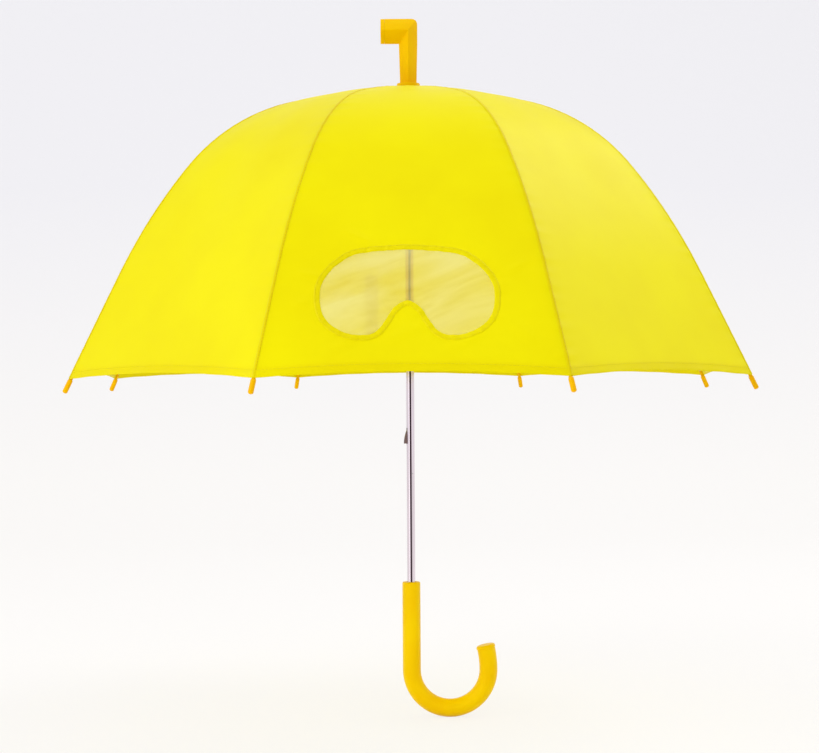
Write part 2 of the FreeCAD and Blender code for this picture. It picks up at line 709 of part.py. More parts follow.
def strap_snap():
    """A press stud's cap that lies on the strap near its free end, where the cloth is flat."""
    height = HEM_CORNER.z + STRAP_BOTTOM + SNAP_ABOVE_END
    up = (height - HEM_CORNER.z) / math.sin(math.radians(RIM_SLOPE))
    surface = CLOTH_TOP + 2 * STRAP_GAP + STRAP
    foot = HEM_CORNER - heading(RIM_SLOPE) * up + outward(RIM_SLOPE) * surface
    foot = squeezed(foot) + Y_AXIS * STRAP_SIDE
    cap = upright(SNAP_R, 0, SNAP_HEIGHT)
    rim = [edge for edge in cap.Edges if edge.BoundBox.ZMin > SNAP_HEIGHT - NEAR]
    cap = cap.makeFillet(SNAP_HEIGHT / 2, rim)
    cap.Placement = Placement(foot, Rotation(Z_AXIS, panel_normal(RIM_SLOPE)))
    return turned(cap, panel_azimuth(STRAP_PANEL))


# Periscope finial: a square column on edge that turns into a head through a mitre

def diamond(half_x, half_y, z):
    corners = [Vector(half_x, 0, z), Vector(0, half_y, z), Vector(-half_x, 0, z), Vector(0, -half_y, z)]
    return Part.makePolygon(corners + [corners[0]])


def mitre_z():
    return PERISCOPE_BASE_Z + COLUMN_HEIGHT


def head_axis_z():
    return mitre_z() + HEAD_HALF_HEIGHT


def head_prism(share, start_x, end_x):
    """A length of the head's rhombus section, scaled by share."""
    half_y = COLUMN_TOP_HALF * share
    half_z = HEAD_HALF_HEIGHT * share
    axis_z = head_axis_z()
    section = polygon(
        [
            Vector(start_x, half_y, axis_z),
            Vector(start_x, 0, axis_z + half_z),
            Vector(start_x, -half_y, axis_z),
            Vector(start_x, 0, axis_z - half_z),
        ]
    )
    return section.extrude(Vector(end_x - start_x, 0, 0))


def mitre_side():
    """Everything on the head's side of the mitre plane."""
    slope = HEAD_HALF_HEIGHT / COLUMN_TOP_HALF
    axis_z = head_axis_z()
    low = Vector(-FAR, -FAR, axis_z - FAR * slope)
    high = Vector(FAR, -FAR, axis_z + FAR * slope)
    region = polygon([low, high, Vector(-FAR, -FAR, axis_z + FAR * slope)])
    return region.extrude(Y_AXIS * (2 * FAR))


def corner_rounding():
    """A block with one rounded upper edge, which trims the elbow's outer corner."""
    top = head_axis_z() + HEAD_HALF_HEIGHT
    room = block(Vector(-FAR, -FAR, 0), Vector(COLUMN_TOP_HALF, FAR, top))
    corner = [
        edge for edge in room.Edges
        if edge.BoundBox.XMin > COLUMN_TOP_HALF - NEAR and edge.BoundBox.ZMin > top - NEAR
    ]
    return room.makeFillet(HEAD_CORNER_ROUND, corner)


def periscope_body():
    lower = Part.makeLoft(
        [
            diamond(COLUMN_BASE_HALF, COLUMN_BASE_HALF, PERISCOPE_BASE_Z),
            diamond(COLUMN_TOP_HALF, COLUMN_TOP_HALF, mitre_z()),
        ],
        True,
        True,
    )
    upper = Part.Face(diamond(COLUMN_TOP_HALF, COLUMN_TOP_HALF, mitre_z())).extrude(
        Z_AXIS * (2 * HEAD_HALF_HEIGHT)
    )
    upper = upper.cut(mitre_side())
    head_end = -HEAD_REACH + BEZEL_LENGTH + BEZEL_GROOVE
    head = head_prism(1.0, head_end, COLUMN_TOP_HALF).common(mitre_side())
    body = fused([lower, upper, head]).common(corner_rounding())
    spigot = head_prism(SPIGOT_SHARE, head_end - BEZEL_GROOVE - SPIGOT_LENGTH, head_end)
    body = fused([body, spigot])
    return body.cut(upright(SHAFT_R + FIXED_FIT, 0, PERISCOPE_SHAFT_TOP + FIXED_FIT))


def periscope_bezel():
    inner_face = -HEAD_REACH + BEZEL_LENGTH
    body = head_prism(1.0, -HEAD_REACH, inner_face)
    recess = head_prism(BEZEL_RIM, -HEAD_REACH, -HEAD_REACH + BEZEL_RECESS)
    grown = SPIGOT_SHARE + FIXED_FIT / COLUMN_TOP_HALF
    socket = head_prism(grown, inner_face - SPIGOT_LENGTH - FIXED_FIT, inner_face)
    return body.cut([recess, socket])


def crown_flange():
    body = upright(FLANGE_R, FLANGE_BOTTOM, PERISCOPE_BASE_Z)
    return body.cut(upright(SHAFT_R + FIXED_FIT, 0, FAR))


def build():
    """Every node's shape by name."""
    shapes = {
        "shaft_tube": shaft_tube(),
        "handle": handle(),
        "handle_end_plug": handle_end_plug(),
        "periscope_body": periscope_body(),
        "periscope_bezel": periscope_bezel(),
        "crown_flange": crown_flange(),
        "top_notch": top_notch(),
        "notch_pins": comb_pins(NOTCH_PIVOT_Z),
        "notch_rivet": notch_rivet(NOTCH_RIVET_R),
        "runner_stop": runner_stop(),
        "runner": runner(),
        "runner_pins": comb_pins(RUNNER_PIVOT.z),
        "bottom_catch": catch_placed(catch_plate(), BOTTOM_CATCH_Z, True),
        "top_catch": catch_placed(catch_plate(), TOP_CATCH_Z, False),
        "catch_pins": catch_pins(),
        "window_binding": window_binding(),
        "tie_strap": tie_strap(),
        "strap_snap": strap_snap(),
    }
    blank = panel_layer(CLOTH_ABOVE_RIB, CLOTH_TOP).common(panel_wedge())
    shapes["window_film"] = window_film(blank)
    one_rib = rib()
    one_joint = rib_joint()
    one_tip = tip()
    one_stretcher = stretcher()
    for number in range(1, RIB_COUNT + 1):
        azimuth = rib_azimuth(number)
        shapes[f"rib_{number}"] = turned(one_rib, azimuth)
        shapes[f"rib_joint_{number}"] = turned(one_joint, azimuth)
        shapes[f"rib_tip_{number}"] = turned(one_tip, azimuth)
        shapes[f"stretcher_{number}"] = turned(one_stretcher, azimuth)
        shapes[f"panel_{number}"] = panel(number, blank)
    return shapes


os.makedirs("parts", exist_ok=True)
for node, shape in build().items():
    shape.exportStep(f"parts/{node}.step")
    print(f"{node}: {len(shape.Solids)} solid, valid {shape.isValid()}, {shape.Volume:.1f} mm3")
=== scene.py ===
# %% [markdown]
# # A child's umbrella, dressed in Blender
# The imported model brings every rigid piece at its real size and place, in metres. This lesson loads it,
# gives each piece the finish of its real material, and sews the canopy: eight cloth panels, their seams and
# hems, a clear window with its binding, and a tie strap. It ends with lights, a floor and a camera.

# %% Load the frame
import json
import math

import bmesh
import bpy
import numpy as np
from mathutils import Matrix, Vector
from mathutils.geometry import delaunay_2d_cdt


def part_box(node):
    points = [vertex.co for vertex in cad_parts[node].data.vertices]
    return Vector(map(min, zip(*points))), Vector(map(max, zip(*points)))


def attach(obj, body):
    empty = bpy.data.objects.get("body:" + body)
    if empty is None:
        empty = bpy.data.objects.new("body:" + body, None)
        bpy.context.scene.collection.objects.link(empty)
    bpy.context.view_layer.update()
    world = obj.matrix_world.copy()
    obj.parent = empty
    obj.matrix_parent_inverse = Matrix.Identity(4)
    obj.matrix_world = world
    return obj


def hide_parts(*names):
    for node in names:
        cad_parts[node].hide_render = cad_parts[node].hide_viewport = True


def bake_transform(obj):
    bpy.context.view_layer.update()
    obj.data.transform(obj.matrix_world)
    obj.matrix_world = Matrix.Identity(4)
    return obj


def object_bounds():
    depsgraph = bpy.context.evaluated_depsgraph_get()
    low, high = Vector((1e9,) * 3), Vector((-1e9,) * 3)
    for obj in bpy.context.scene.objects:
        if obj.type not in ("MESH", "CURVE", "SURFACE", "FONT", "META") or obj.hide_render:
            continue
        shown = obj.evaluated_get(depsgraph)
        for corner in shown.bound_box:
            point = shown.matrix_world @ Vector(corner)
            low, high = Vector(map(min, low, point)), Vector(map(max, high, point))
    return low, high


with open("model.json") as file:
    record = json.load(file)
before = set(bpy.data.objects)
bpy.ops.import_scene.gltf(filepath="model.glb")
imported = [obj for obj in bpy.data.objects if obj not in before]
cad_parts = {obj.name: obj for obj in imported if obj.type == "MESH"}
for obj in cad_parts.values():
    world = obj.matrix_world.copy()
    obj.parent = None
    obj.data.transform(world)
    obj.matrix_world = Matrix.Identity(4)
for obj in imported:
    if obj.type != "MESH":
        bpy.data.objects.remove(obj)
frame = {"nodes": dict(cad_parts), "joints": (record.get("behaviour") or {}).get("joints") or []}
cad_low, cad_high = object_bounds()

MM = 0.001
NODES = frame["nodes"]
JOINTS = {joint["name"]: joint for joint in frame["joints"]}
print("nodes", len(NODES), "box", [round(x, 4) for x in (*cad_low, *cad_high)])

# %% [markdown]
# ## Colours and shader nodes
# Colours are picked as sRGB hex values, as a maker reads them off a swatch, and shaders want linear light.
# One function turns one into the other. The others add nodes, set their sockets and join their inputs, so each
# material below reads as a short list.

# %% Helpers for materials
def colour(hex_value):
    """Linear RGBA of an sRGB hex value such as "F5EA12"."""
    parts = [int(hex_value[i:i + 2], 16) / 255 for i in (0, 2, 4)]
    linear = [c / 12.92 if c <= 0.04045 else ((c + 0.055) / 1.055) ** 2.4 for c in parts]
    return (*linear, 1.0)


def shade(tone, share):
    """A colour darkened to a share of its light."""
    return (*(part * share for part in tone[:3]), 1.0)


def add(material, kind, inputs=None, **settings):
    """Adds a node; inputs maps a socket's name or number to a value or to another node's output."""
    node = material.node_tree.nodes.new(kind)
    for name, value in settings.items():
        setattr(node, name, value)
    for name, value in (inputs or {}).items():
        socket = node.inputs[name]
        if isinstance(value, bpy.types.NodeSocket):
            material.node_tree.links.new(value, socket)
        else:
            socket.default_value = value
    return node


def new_material(name):
    """An empty node material, and its coordinates that stay with the object."""
    material = bpy.data.materials.new(name)
    material.use_nodes = True
    material.node_tree.nodes.clear()
    return material, add(material, "ShaderNodeTexCoord").outputs["Object"]


def surface(material, shader):
    """Joins the last shader to a new output and gives the finished material back."""
    add(material, "ShaderNodeOutputMaterial", {"Surface": shader})
    return material


def noise(material, place, scale, detail, more=None):
    return add(material, "ShaderNodeTexNoise",
               {"Vector": place, "Scale": scale, "Detail": detail, **(more or {})}).outputs["Fac"]


def ramp(material, factor, *stops):
    """The colour of a ramp with (position, colour) stops."""
    node = add(material, "ShaderNodeValToRGB", {"Fac": factor})
    for element, (position, value) in zip(node.color_ramp.elements, stops, strict=True):
        element.position = position
        element.color = value
    return node.outputs["Color"]


def bump(material, height, strength, distance, more=None):
    return add(material, "ShaderNodeBump",
               {"Height": height, "Strength": strength, "Distance": distance, **(more or {})}).outputs["Normal"]


def sum_of(material, operation, first, second=0.0):
    """One step of arithmetic on two values."""
    return add(material, "ShaderNodeMath", {0: first, 1: second}, operation=operation).outputs[0]


def mix(material, share, first, second):
    """A shader between two."""
    return add(material, "ShaderNodeMixShader", {0: share, 1: first, 2: second}).outputs[0]


def principled(material, tint, roughness, normal, more):
    return add(material, "ShaderNodeBsdfPrincipled",
               {"Base Color": tint, "Roughness": roughness, "Normal": normal, **more}).outputs[0]


# %% [markdown]
# ## Canopy cloth
# The canopy is plain-woven polyester, thin and coated, in a sharp lemon yellow. The weave is about 0.1 mm,
# far too fine to show, so a coarser one is drawn as a faint bump along the panel's own UV map: threads 0.9 mm
# wide and as far apart. Broad soft noise gives the slight change of tone that cloth under uneven tension has.
# Some of the light goes through, which makes the inside glow, so a translucent shader is mixed in.

# %% Canopy cloth
THREAD_WIDTH = 0.9
WEAVE_SCALE = 160 / THREAD_WIDTH


def woven_polyester(name, base, deep, through=0.28):
    """Coated cloth; "through" is the share of light that passes it."""
    material, place = new_material(name)
    uv = place.node.outputs["UV"]
    tone = noise(material, place, 9.0, 3.0, {"Roughness": 0.55})
    tint = ramp(material, tone, (0.30, colour(deep)), (0.62, colour(base)))
    warp, weft = (add(material, "ShaderNodeTexWave", {"Vector": uv, "Scale": WEAVE_SCALE, "Distortion": 0.3},
                      wave_type="BANDS", bands_direction=way).outputs["Fac"] for way in "XY")
    rumple = noise(material, place, 38.0, 4.0, {"Roughness": 0.6})
    soft = bump(material, rumple, 0.12, 1.2 * MM)
    weave = bump(material, sum_of(material, "MULTIPLY", warp, weft), 0.10, 0.1 * MM, {"Normal": soft})
    cloth = principled(material, tint, 0.42, weave, {
        "Sheen Weight": 0.04, "Sheen Roughness": 0.4, "Sheen Tint": colour("FFF6A0"),
        "Specular IOR Level": 0.18, "Specular Tint": colour("FFF694")})
    glow = add(material, "ShaderNodeBsdfTranslucent", {"Color": tint, "Normal": soft}).outputs[0]
    return surface(material, mix(material, through, cloth, glow))


def spun_thread(name, dye):
    """Spun polyester sewing thread: matt, because its fibres stand out from it."""
    material, place = new_material(name)
    fuzz = noise(material, place, 900.0, 2.0)
    tint = ramp(material, fuzz, (0.3, shade(colour(dye), 0.9)), (0.65, colour(dye)))
    return surface(material, add(material, "ShaderNodeBsdfPrincipled", {
        "Base Color": tint, "Roughness": 0.6, "Specular IOR Level": 0.2}).outputs[0])


canopy_cloth = woven_polyester("woven_polyester_lemon", "F7ED00", "F3E600")
seam_cloth = woven_polyester("polyester_seam_folded", "F5E800", "EFDE00", through=0.3)
binding_cloth = woven_polyester("polyester_binding_tape", "F2E600", "EBDD00", through=0.16)
thread_cloth = spun_thread("spun_polyester_thread_lemon", "F0E400")
# The seam stitches are real thread; their amber colour is painted shade, the darker line where the cloth folds
# over each rib.
seam_thread_painted_shade = spun_thread("seam_thread_amber_painted_shade", "EAC600")
print("cloth materials", canopy_cloth.name, seam_cloth.name, thread_cloth.name)

# %% [markdown]
# ## Window film
# The window is clear soft vinyl; its yellow tint is painted light, from the yellow cloth around it.
# Calendered film is not optically flat: long shallow ripples catch the light as whitish streaks that run
# slantwise, and these streaks are painted reflections. About half of the light goes straight through, so a
# transparent shader carries it, and a milky one with a paler tint is mixed in along the painted streaks.
# The streaks are turned by one mapping and stretched by a second, since one alone stretches before it turns.

# %% Window film
STREAK_LOW, STREAK_HIGH = 0.34, 0.70


def calendered_vinyl(name):
    material, place = new_material(name)
    turned = add(material, "ShaderNodeMapping", {"Vector": place, "Rotation": (0, math.radians(22), 0)})
    drawn = add(material, "ShaderNodeMapping", {"Vector": turned.outputs[0], "Scale": (11.0, 11.0, 46.0)})
    streak = noise(material, drawn.outputs[0], 1.0, 3.0, {"Roughness": 0.5, "Distortion": 0.4})
    # Painted reflection: more of the milky shader and a paler tint along the streaks; the yellow tint is
    # painted light.
    painted_streak_share = ramp(material, streak, (STREAK_LOW, (0.38, 0.38, 0.38, 1)), (STREAK_HIGH, (0.56, 0.56, 0.56, 1)))
    tint = ramp(material, streak, (STREAK_LOW, colour("FFF180")), (STREAK_HIGH, colour("FFFAB0")))
    clear = add(material, "ShaderNodeBsdfTransparent", {"Color": colour("FDFADC")}).outputs[0]
    haze = principled(material, tint, 0.22, bump(material, streak, 0.30, 0.8 * MM), {"Specular IOR Level": 0.4})
    glow = add(material, "ShaderNodeBsdfTranslucent", {"Color": tint}).outputs[0]
    return surface(material, mix(material, painted_streak_share, clear, mix(material, 0.22, haze, glow)))


vinyl_film = calendered_vinyl("clear_vinyl_film")
print("film material", vinyl_film.name)

# %% [markdown]
# ## Moulded plastic, chrome and spring steel
# Handle, tips and finial are injection-moulded ABS in a deeper egg-yolk yellow, glossy with a faint orange
# peel; the finial is the dullest of them. The shaft is a chrome-plated tube, rolled from strip. Its draw lines
# run along the tube, so the noise is stretched along Z. A thin dark line down its front is a painted
# reflection, and its upper half, inside the canopy, is darkened with painted shade. Ribs and stretchers are
# zinc-bright spring steel, and the catches are darker, oil-blackened steel.

# %% Rigid materials
def moulded_abs(name, base, deep, roughness=0.36, gloss=0.18, tint_of_gloss="FFEC70"):
    material, place = new_material(name)
    tint = ramp(material, noise(material, place, 26.0, 2.0), (0.35, colour(deep)), (0.6, colour(base)))
    peel = bump(material, noise(material, place, 700.0, 1.0), 0.05, 0.2 * MM)
    return surface(material, principled(material, tint, roughness, peel, {
        "Specular IOR Level": gloss, "Specular Tint": colour(tint_of_gloss), "Subsurface Weight": 0.1,
        "Subsurface Radius": (2 * MM, 1.2 * MM, 0.3 * MM), "Subsurface Scale": 1.0}))


def drawn_metal(name, base, roughness, stretch=(900.0, 900.0, 14.0)):
    """Metal with a fine grain: lines along Z, unless the noise is stretched alike in all directions."""
    material, place = new_material(name)
    drawn = add(material, "ShaderNodeMapping", {"Vector": place, "Scale": stretch})
    lines = noise(material, drawn.outputs[0], 1.0, 2.0)
    grey = ramp(material, lines, (0.3, shade(colour(base), 0.86)), (0.6, colour(base)))
    return surface(material, principled(material, grey, roughness, bump(material, lines, 0.05, 0.1 * MM),
                                        {"Metallic": 1.0}))


def blend_colours(material, share, first, second):
    """A colour between two; a mix node keeps its colour sockets at 6, 7 and output 2."""
    return add(material, "ShaderNodeMix", {0: share, 6: first, 7: second}, data_type="RGBA").outputs[2]


# Half widths of the painted dark reflection line, and the heights over which the painted shade comes in.
PAINTED_LINE_FULL, PAINTED_LINE_EDGE = 0.6 * MM, 1.35 * MM
PAINTED_SHADE_START, PAINTED_SHADE_FULL = 0.255, 0.275


def tube_with_painted_line_and_shade(name, base, reflection_dark, shade_dark):
    """A drawn tube round the Z axis with a painted dark reflection line on its -Y side, and painted shade above
    a height.
    """
    material = drawn_metal(name, base, 0.12)
    shader = next(n for n in material.node_tree.nodes if n.type == "BSDF_PRINCIPLED")
    plated = shader.inputs["Base Color"].links[0].from_socket
    place = add(material, "ShaderNodeTexCoord").outputs["Object"]
    axes = add(material, "ShaderNodeSeparateXYZ", {"Vector": place})
    aside = sum_of(material, "ABSOLUTE", axes.outputs["X"])
    # Painted reflection: a thin dark line down the tube's -Y side.
    painted_line_share = add(material, "ShaderNodeMapRange", {
        "Value": aside, "From Min": PAINTED_LINE_FULL, "From Max": PAINTED_LINE_EDGE, "To Min": 1.0, "To Max": 0.0})
    front = sum_of(material, "LESS_THAN", axes.outputs["Y"])
    painted_line = sum_of(material, "MULTIPLY", painted_line_share.outputs[0], front)
    # Painted shade: the plating darkens above a height, inside the canopy.
    painted_shade_share = add(material, "ShaderNodeMapRange", {
        "Value": axes.outputs["Z"], "From Min": PAINTED_SHADE_START, "From Max": PAINTED_SHADE_FULL})
    plated_and_painted_shade = blend_colours(material, painted_shade_share.outputs[0], plated, colour(shade_dark))
    tone = blend_colours(material, painted_line, plated_and_painted_shade, colour(reflection_dark))
    material.node_tree.links.new(tone, shader.inputs["Base Color"])
    return material


yolk_abs = moulded_abs("moulded_abs_yolk", "FFD600", "FBCC00")
finial_abs = moulded_abs("moulded_abs_finial", "F2C200", "EDB800", roughness=0.45, gloss=0.08)
amber_abs = moulded_abs("moulded_abs_amber_tip", "F6BC00", "EEB000")
white_nylon = moulded_abs("moulded_nylon_white", "EFEDE6", "E4E1D8", 0.42, 0.4, tint_of_gloss="FFFFFF")
# Its last two colours are the painted reflection line and the painted shade.
chrome = tube_with_painted_line_and_shade("chrome_plated_tube", "E6DAE2", "2E1A25", "D2B4A4")
spring_steel = drawn_metal("zinc_bright_spring_steel", "C9C9CC", 0.30, (400.0, 400.0, 400.0))
black_steel = drawn_metal("oil_blackened_steel", "7C686A", 0.38, (300.0, 300.0, 300.0))
print("rigid materials", yolk_abs.name, finial_abs.name, amber_abs.name, white_nylon.name, chrome.name)

# %% [markdown]
# ## Helpers for meshes
# New cloth is made from points and faces. Rigid pieces are modelled with Blender's own tools, in edit mode,
# and are then finished: named, set at the origin, given their material and smoothed.

# %% Helpers for meshes
def mesh_piece(name, points, faces, material, uvs=None):
    """A new object from points and faces, smooth shaded, at the origin."""
    mesh = bpy.data.meshes.new(name)
    mesh.from_pydata([tuple(p) for p in points], [], [tuple(int(i) for i in f) for f in faces])
    mesh.update()
    piece = bpy.data.objects.new(name, mesh)
    bpy.context.scene.collection.objects.link(piece)
    mesh.materials.append(material)
    mesh.shade_smooth()
    if uvs is not None:
        layer = mesh.uv_layers.new(name="cloth")
        corners = np.array([loop.vertex_index for loop in mesh.loops])
        layer.data.foreach_set("uv", np.asarray(uvs)[corners].ravel().astype(np.float32))
    return piece


def grid_faces(rows, columns, closed=False):
    """Quads over a grid of points; a closed one joins its last column to its first."""
    index = np.arange(rows * columns).reshape(rows, columns)
    if closed:
        index = np.hstack([index, index[:, :1]])
    return np.stack([index[:-1, :-1], index[1:, :-1], index[1:, 1:], index[:-1, 1:]], axis=-1).reshape(-1, 4)


def only(*pieces):
    """Selects these pieces alone and makes the first one active."""
    bpy.ops.object.select_all(action="DESELECT")
    for piece in pieces:
        piece.select_set(True)
    bpy.context.view_layer.objects.active = pieces[0]


def edit(piece, *steps):
    """Runs mesh steps on one piece in edit mode."""
    only(piece)
    bpy.ops.object.mode_set(mode="EDIT")
    for step in steps:
        step()
    bpy.ops.object.mode_set(mode="OBJECT")


def pick(piece, kind, test):
    """Selects only the faces, edges or vertices that pass a test, in edit mode."""
    bpy.ops.mesh.select_mode(type=kind)
    bpy.ops.mesh.select_all(action="DESELECT")
    shell = bmesh.from_edit_mesh(piece.data)
    parts = {"FACE": shell.faces, "EDGE": shell.edges, "VERT": shell.verts}[kind]
    for part in parts:
        part.select = test(part)
    shell.select_flush_mode()
    bmesh.update_edit_mesh(piece.data)


def middle_of(part):
    return sum((v.co for v in part.verts), Vector()) / len(part.verts)


def finish_piece(piece, name, material, angle=40.0):
    """Names a finished piece, sets it at the origin, gives it its material and smooths it."""
    piece.name = name
    piece.data.name = name
    only(piece)
    bpy.ops.object.transform_apply(location=True, rotation=True, scale=True)
    piece.data.materials.clear()
    piece.data.materials.append(material)
    bpy.ops.object.shade_smooth_by_angle(angle=math.radians(angle))
    return piece


print("mesh helpers, in", bpy.context.mode, "mode")

# %% [markdown]
# ## The canopy's line
# Seen in the plane of a rib, the canopy is a chain of tangent arcs: nearly level at the crown, a tight bend
# over the shoulder, and then a straight skirt to the hem. Cloth stretched between two ribs runs straight
# from one to the other at each height, so a point of a panel needs three numbers: how far down the line it
# lies, how far sideways from the panel's middle, and how far it is lifted off the cloth.

# %% The canopy's line and the surface between two ribs
RIBS = 8
HALF = math.pi / RIBS
PIVOT = Vector(JOINTS["canopy_fold"]["pos_m"])
FIRST_RIB = math.atan2(PIVOT.y, PIVOT.x)
# Each arc is a length and the slope at its end, in degrees below level; the cloth's crown has its own start.
RIB_ARCS = ((113.4 * MM, 14.0), (126.0 * MM, 50.6), (125.5 * MM, 63.7), (105.7 * MM, 63.7))
RIB_START = 3.9
CROWN = (116.2 * MM, 6.33)
CLOTH_LIFT = 2.05 * MM
HEM_RISE = 5.0 * MM
PAST_HEM = 20 * MM


def arc_step(length, slope_a, slope_b):
    """Outward and downward travel along an arc while its slope changes, in degrees."""
    a, b = math.radians(slope_a), math.radians(slope_b)
    if abs(b - a) < 1e-9:
        return np.array([math.cos(a), -math.sin(a)]) * length
    return np.array([math.sin(b) - math.sin(a), math.cos(b) - math.cos(a)]) * (length / (b - a))


def canopy_line(step=0.5 * MM):
    """Distance, radius, height and slope at close steps from the crown to just past the hem."""
    start = np.array([PIVOT.xy.length, PIVOT.z]) + arc_step(RIB_ARCS[0][0], RIB_START, RIB_ARCS[0][1])
    start = start - arc_step(CROWN[0], CROWN[1], RIB_ARCS[0][1])
    arcs = ((CROWN[0], RIB_ARCS[0][1]),) + RIB_ARCS[1:]
    rows, done, slope = [], 0.0, CROWN[1]
    for length, end in arcs:
        for distance in np.arange(0, length, step):
            here = slope + (end - slope) * distance / length
            rows.append((done + distance, *(start + arc_step(distance, slope, here)), here))
        start = start + arc_step(length, slope, end)
        done, slope = done + length, end
    for extra in np.arange(0, PAST_HEM, step):
        rows.append((done + extra, *(start + arc_step(extra, slope, slope)), slope))
    return np.array(rows), done, start


LINE, CLOTH_LENGTH, HEM_CORNER = canopy_line()
print("cloth runs", round(CLOTH_LENGTH, 4), "m from crown to hem; hem corner", HEM_CORNER.round(4))


def rib_angle(number):
    return FIRST_RIB + 2 * HALF * (number - 1)


def line_at(distance, lift=0.0):
    """Radius and height in a rib's plane, lifted square to the rib's line."""
    radius, height, slope = (np.interp(distance, LINE[:, 0], LINE[:, i]) for i in (1, 2, 3))
    angle = np.radians(slope)
    return radius + (CLOTH_LIFT + lift) * np.sin(angle), height + (CLOTH_LIFT + lift) * np.cos(angle), slope


def half_width(distance):
    return line_at(distance)[0] * math.sin(HALF)


def distance_at_height(height):
    heights = LINE[:, 2] + CLOTH_LIFT * np.cos(np.radians(LINE[:, 3]))
    return np.interp(-np.asarray(height), -heights, LINE[:, 0])


def hem_distance(share):
    """Where the hem's shallow arc crosses the panel, at a share of -1 to 1 of its half width."""
    return distance_at_height(HEM_CORNER[1] + HEM_RISE * (1 - np.clip(np.abs(share), 0, 1) ** 2))


# %% [markdown]
# ### Life in the cloth
# Stretched cloth is never a perfect surface. A sewn seam is a little shorter than the cloth beside it and
# gathers it into fine puckers that die out within two centimetres; the tight line between hem and shoulder
# pulls the middle of a panel in by a few millimetres; and long soft drag lines run down from the crown. The
# window is stiffer than the cloth around it, so short folds run out from its edge. A fold is given by its
# two ends, in millimetres sideways from the panel's middle and up from the hem's corner.

# %% Relief of a panel
PUCKER, PUCKER_REACH = 0.28 * MM, 9 * MM
SAG = 2.6 * MM
CREST = 1.6 * MM
DRAG = 0.30 * MM
HEM_WAVE = 0.35 * MM
WINDOW_PANEL = 6
CREASES = (((-72, 20), (-33, 41)), ((-24, 27), (8, 45)), ((28, 22), (64, 38)), ((84, 46), (102, 28)),
           ((-100, 60), (-79, 68)), ((-97, 90), (-75, 84)), ((80, 88), (101, 99)), ((-60, 128), (-30, 113)))
CREASE_WIDTH = 3.4 * MM
CREASE_HEIGHT = 0.95 * MM


def window_creases(distance, side):
    """Short drag folds that run from the window's sewn edge into the cloth round it."""
    lift = np.zeros(np.shape(distance))
    for (x0, z0), (x1, z1) in CREASES:
        start = np.array([x0 * MM, distance_at_height(HEM_CORNER[1] + z0 * MM)])
        end = np.array([x1 * MM, distance_at_height(HEM_CORNER[1] + z1 * MM)])
        way = end - start
        share = ((side - start[0]) * way[0] + (distance - start[1]) * way[1]) / way.dot(way)
        off = np.abs((side - start[0]) * way[1] - (distance - start[1]) * way[0]) / np.linalg.norm(way)
        taper = np.clip(share, 0, 1) * np.clip(1 - share, 0, 1) * 4
        lift = lift + CREASE_HEIGHT * taper * np.exp(-(off / CREASE_WIDTH) ** 2)
    return lift


def relief(panel, distance, side):
    """How far a panel's cloth lies off the straight surface, in metres along its normal."""
    width = np.maximum(half_width(distance), 1e-4)
    share = np.clip(side / width, -1, 1)
    edge = np.clip(width - np.abs(side), 0, None)
    down = distance / CLOTH_LENGTH
    hollow = -SAG * (1 - share ** 2) * np.sin(math.pi * np.clip((down - 0.42) / 0.58, 0, 1))
    crest = CREST * (1 - share ** 2) * np.sin(math.pi * np.clip(down / 0.55, 0, 1))
    phase = panel * 1.7 + np.sign(side) * 0.9
    pucker = PUCKER * np.exp(-edge / PUCKER_REACH) * (1 - np.exp(-edge / (1.5 * MM)))
    pucker = pucker * (np.sin(distance / (2.1 * MM) + phase)
                       + 0.6 * np.sin(distance / (3.7 * MM) + 2.1 * phase))
    drag = DRAG * np.sin(share * 7.0 + panel * 2.3 + 1.5 * down) * np.sin(math.pi * np.clip(down * 1.1, 0, 1))
    rise = np.clip((CLOTH_LENGTH - distance) / (14 * MM), 0, 1)
    wave = HEM_WAVE * np.sin(share * 21 + panel) * (1 - rise) * np.clip(edge / (12 * MM), 0, 1)
    fade = np.clip(edge / (6 * MM), 0, 1) * np.clip(distance / (40 * MM), 0, 1)
    creases = window_creases(distance, side) if panel == WINDOW_PANEL else 0.0
    return (hollow + crest + drag) * fade + pucker * np.clip(distance / (30 * MM), 0, 1) + wave + creases


def on_panel(panel, distance, side, lift=0.0, flat=False):
    """Points of a panel: arrays of distance down the line and sideways from its middle give an (n, 3) array."""
    distance, side = np.broadcast_arrays(np.asarray(distance, float), np.asarray(side, float))
    off = lift if flat else lift + relief(panel, distance, side)
    radius, height, slope = line_at(distance)
    angle = np.radians(slope)
    out, up = np.sin(angle), np.cos(angle) * math.cos(HALF)
    size = np.hypot(out, up)
    middle = rib_angle(panel) + HALF
    reach = radius * math.cos(HALF) + off * out / size
    x = reach * math.cos(middle) - side * math.sin(middle)
    y = reach * math.sin(middle) + side * math.cos(middle)
    return np.stack([x, y, height + off * up / size], axis=-1)


def follow_both_ribs(piece, panel):
    """Bakes a piece's place into its mesh and works out each point's turn round the shaft from the panel's
    first rib.
    """
    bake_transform(piece)
    points = np.array([v.co for v in piece.data.vertices])
    turn = np.arctan2(points[:, 1], points[:, 0]) - rib_angle(panel)
    turn = (turn + math.pi / 2) % (2 * math.pi) - math.pi / 2


print("relief at the middle of the skirt", round(float(relief(1, 0.35, 0.0)) * 1000, 2), "mm")

# %% [markdown]
# ## Seven plain panels
# Each panel is one sheet. A grid is laid over its cut shape, narrow at the crown and wide at the hem, and
# every row ends on the hem's arc. The last rows turn under and run back up inside: the hem's fold, which
# gives the edge its thickness. Columns are closer near the seams, where the puckers are.

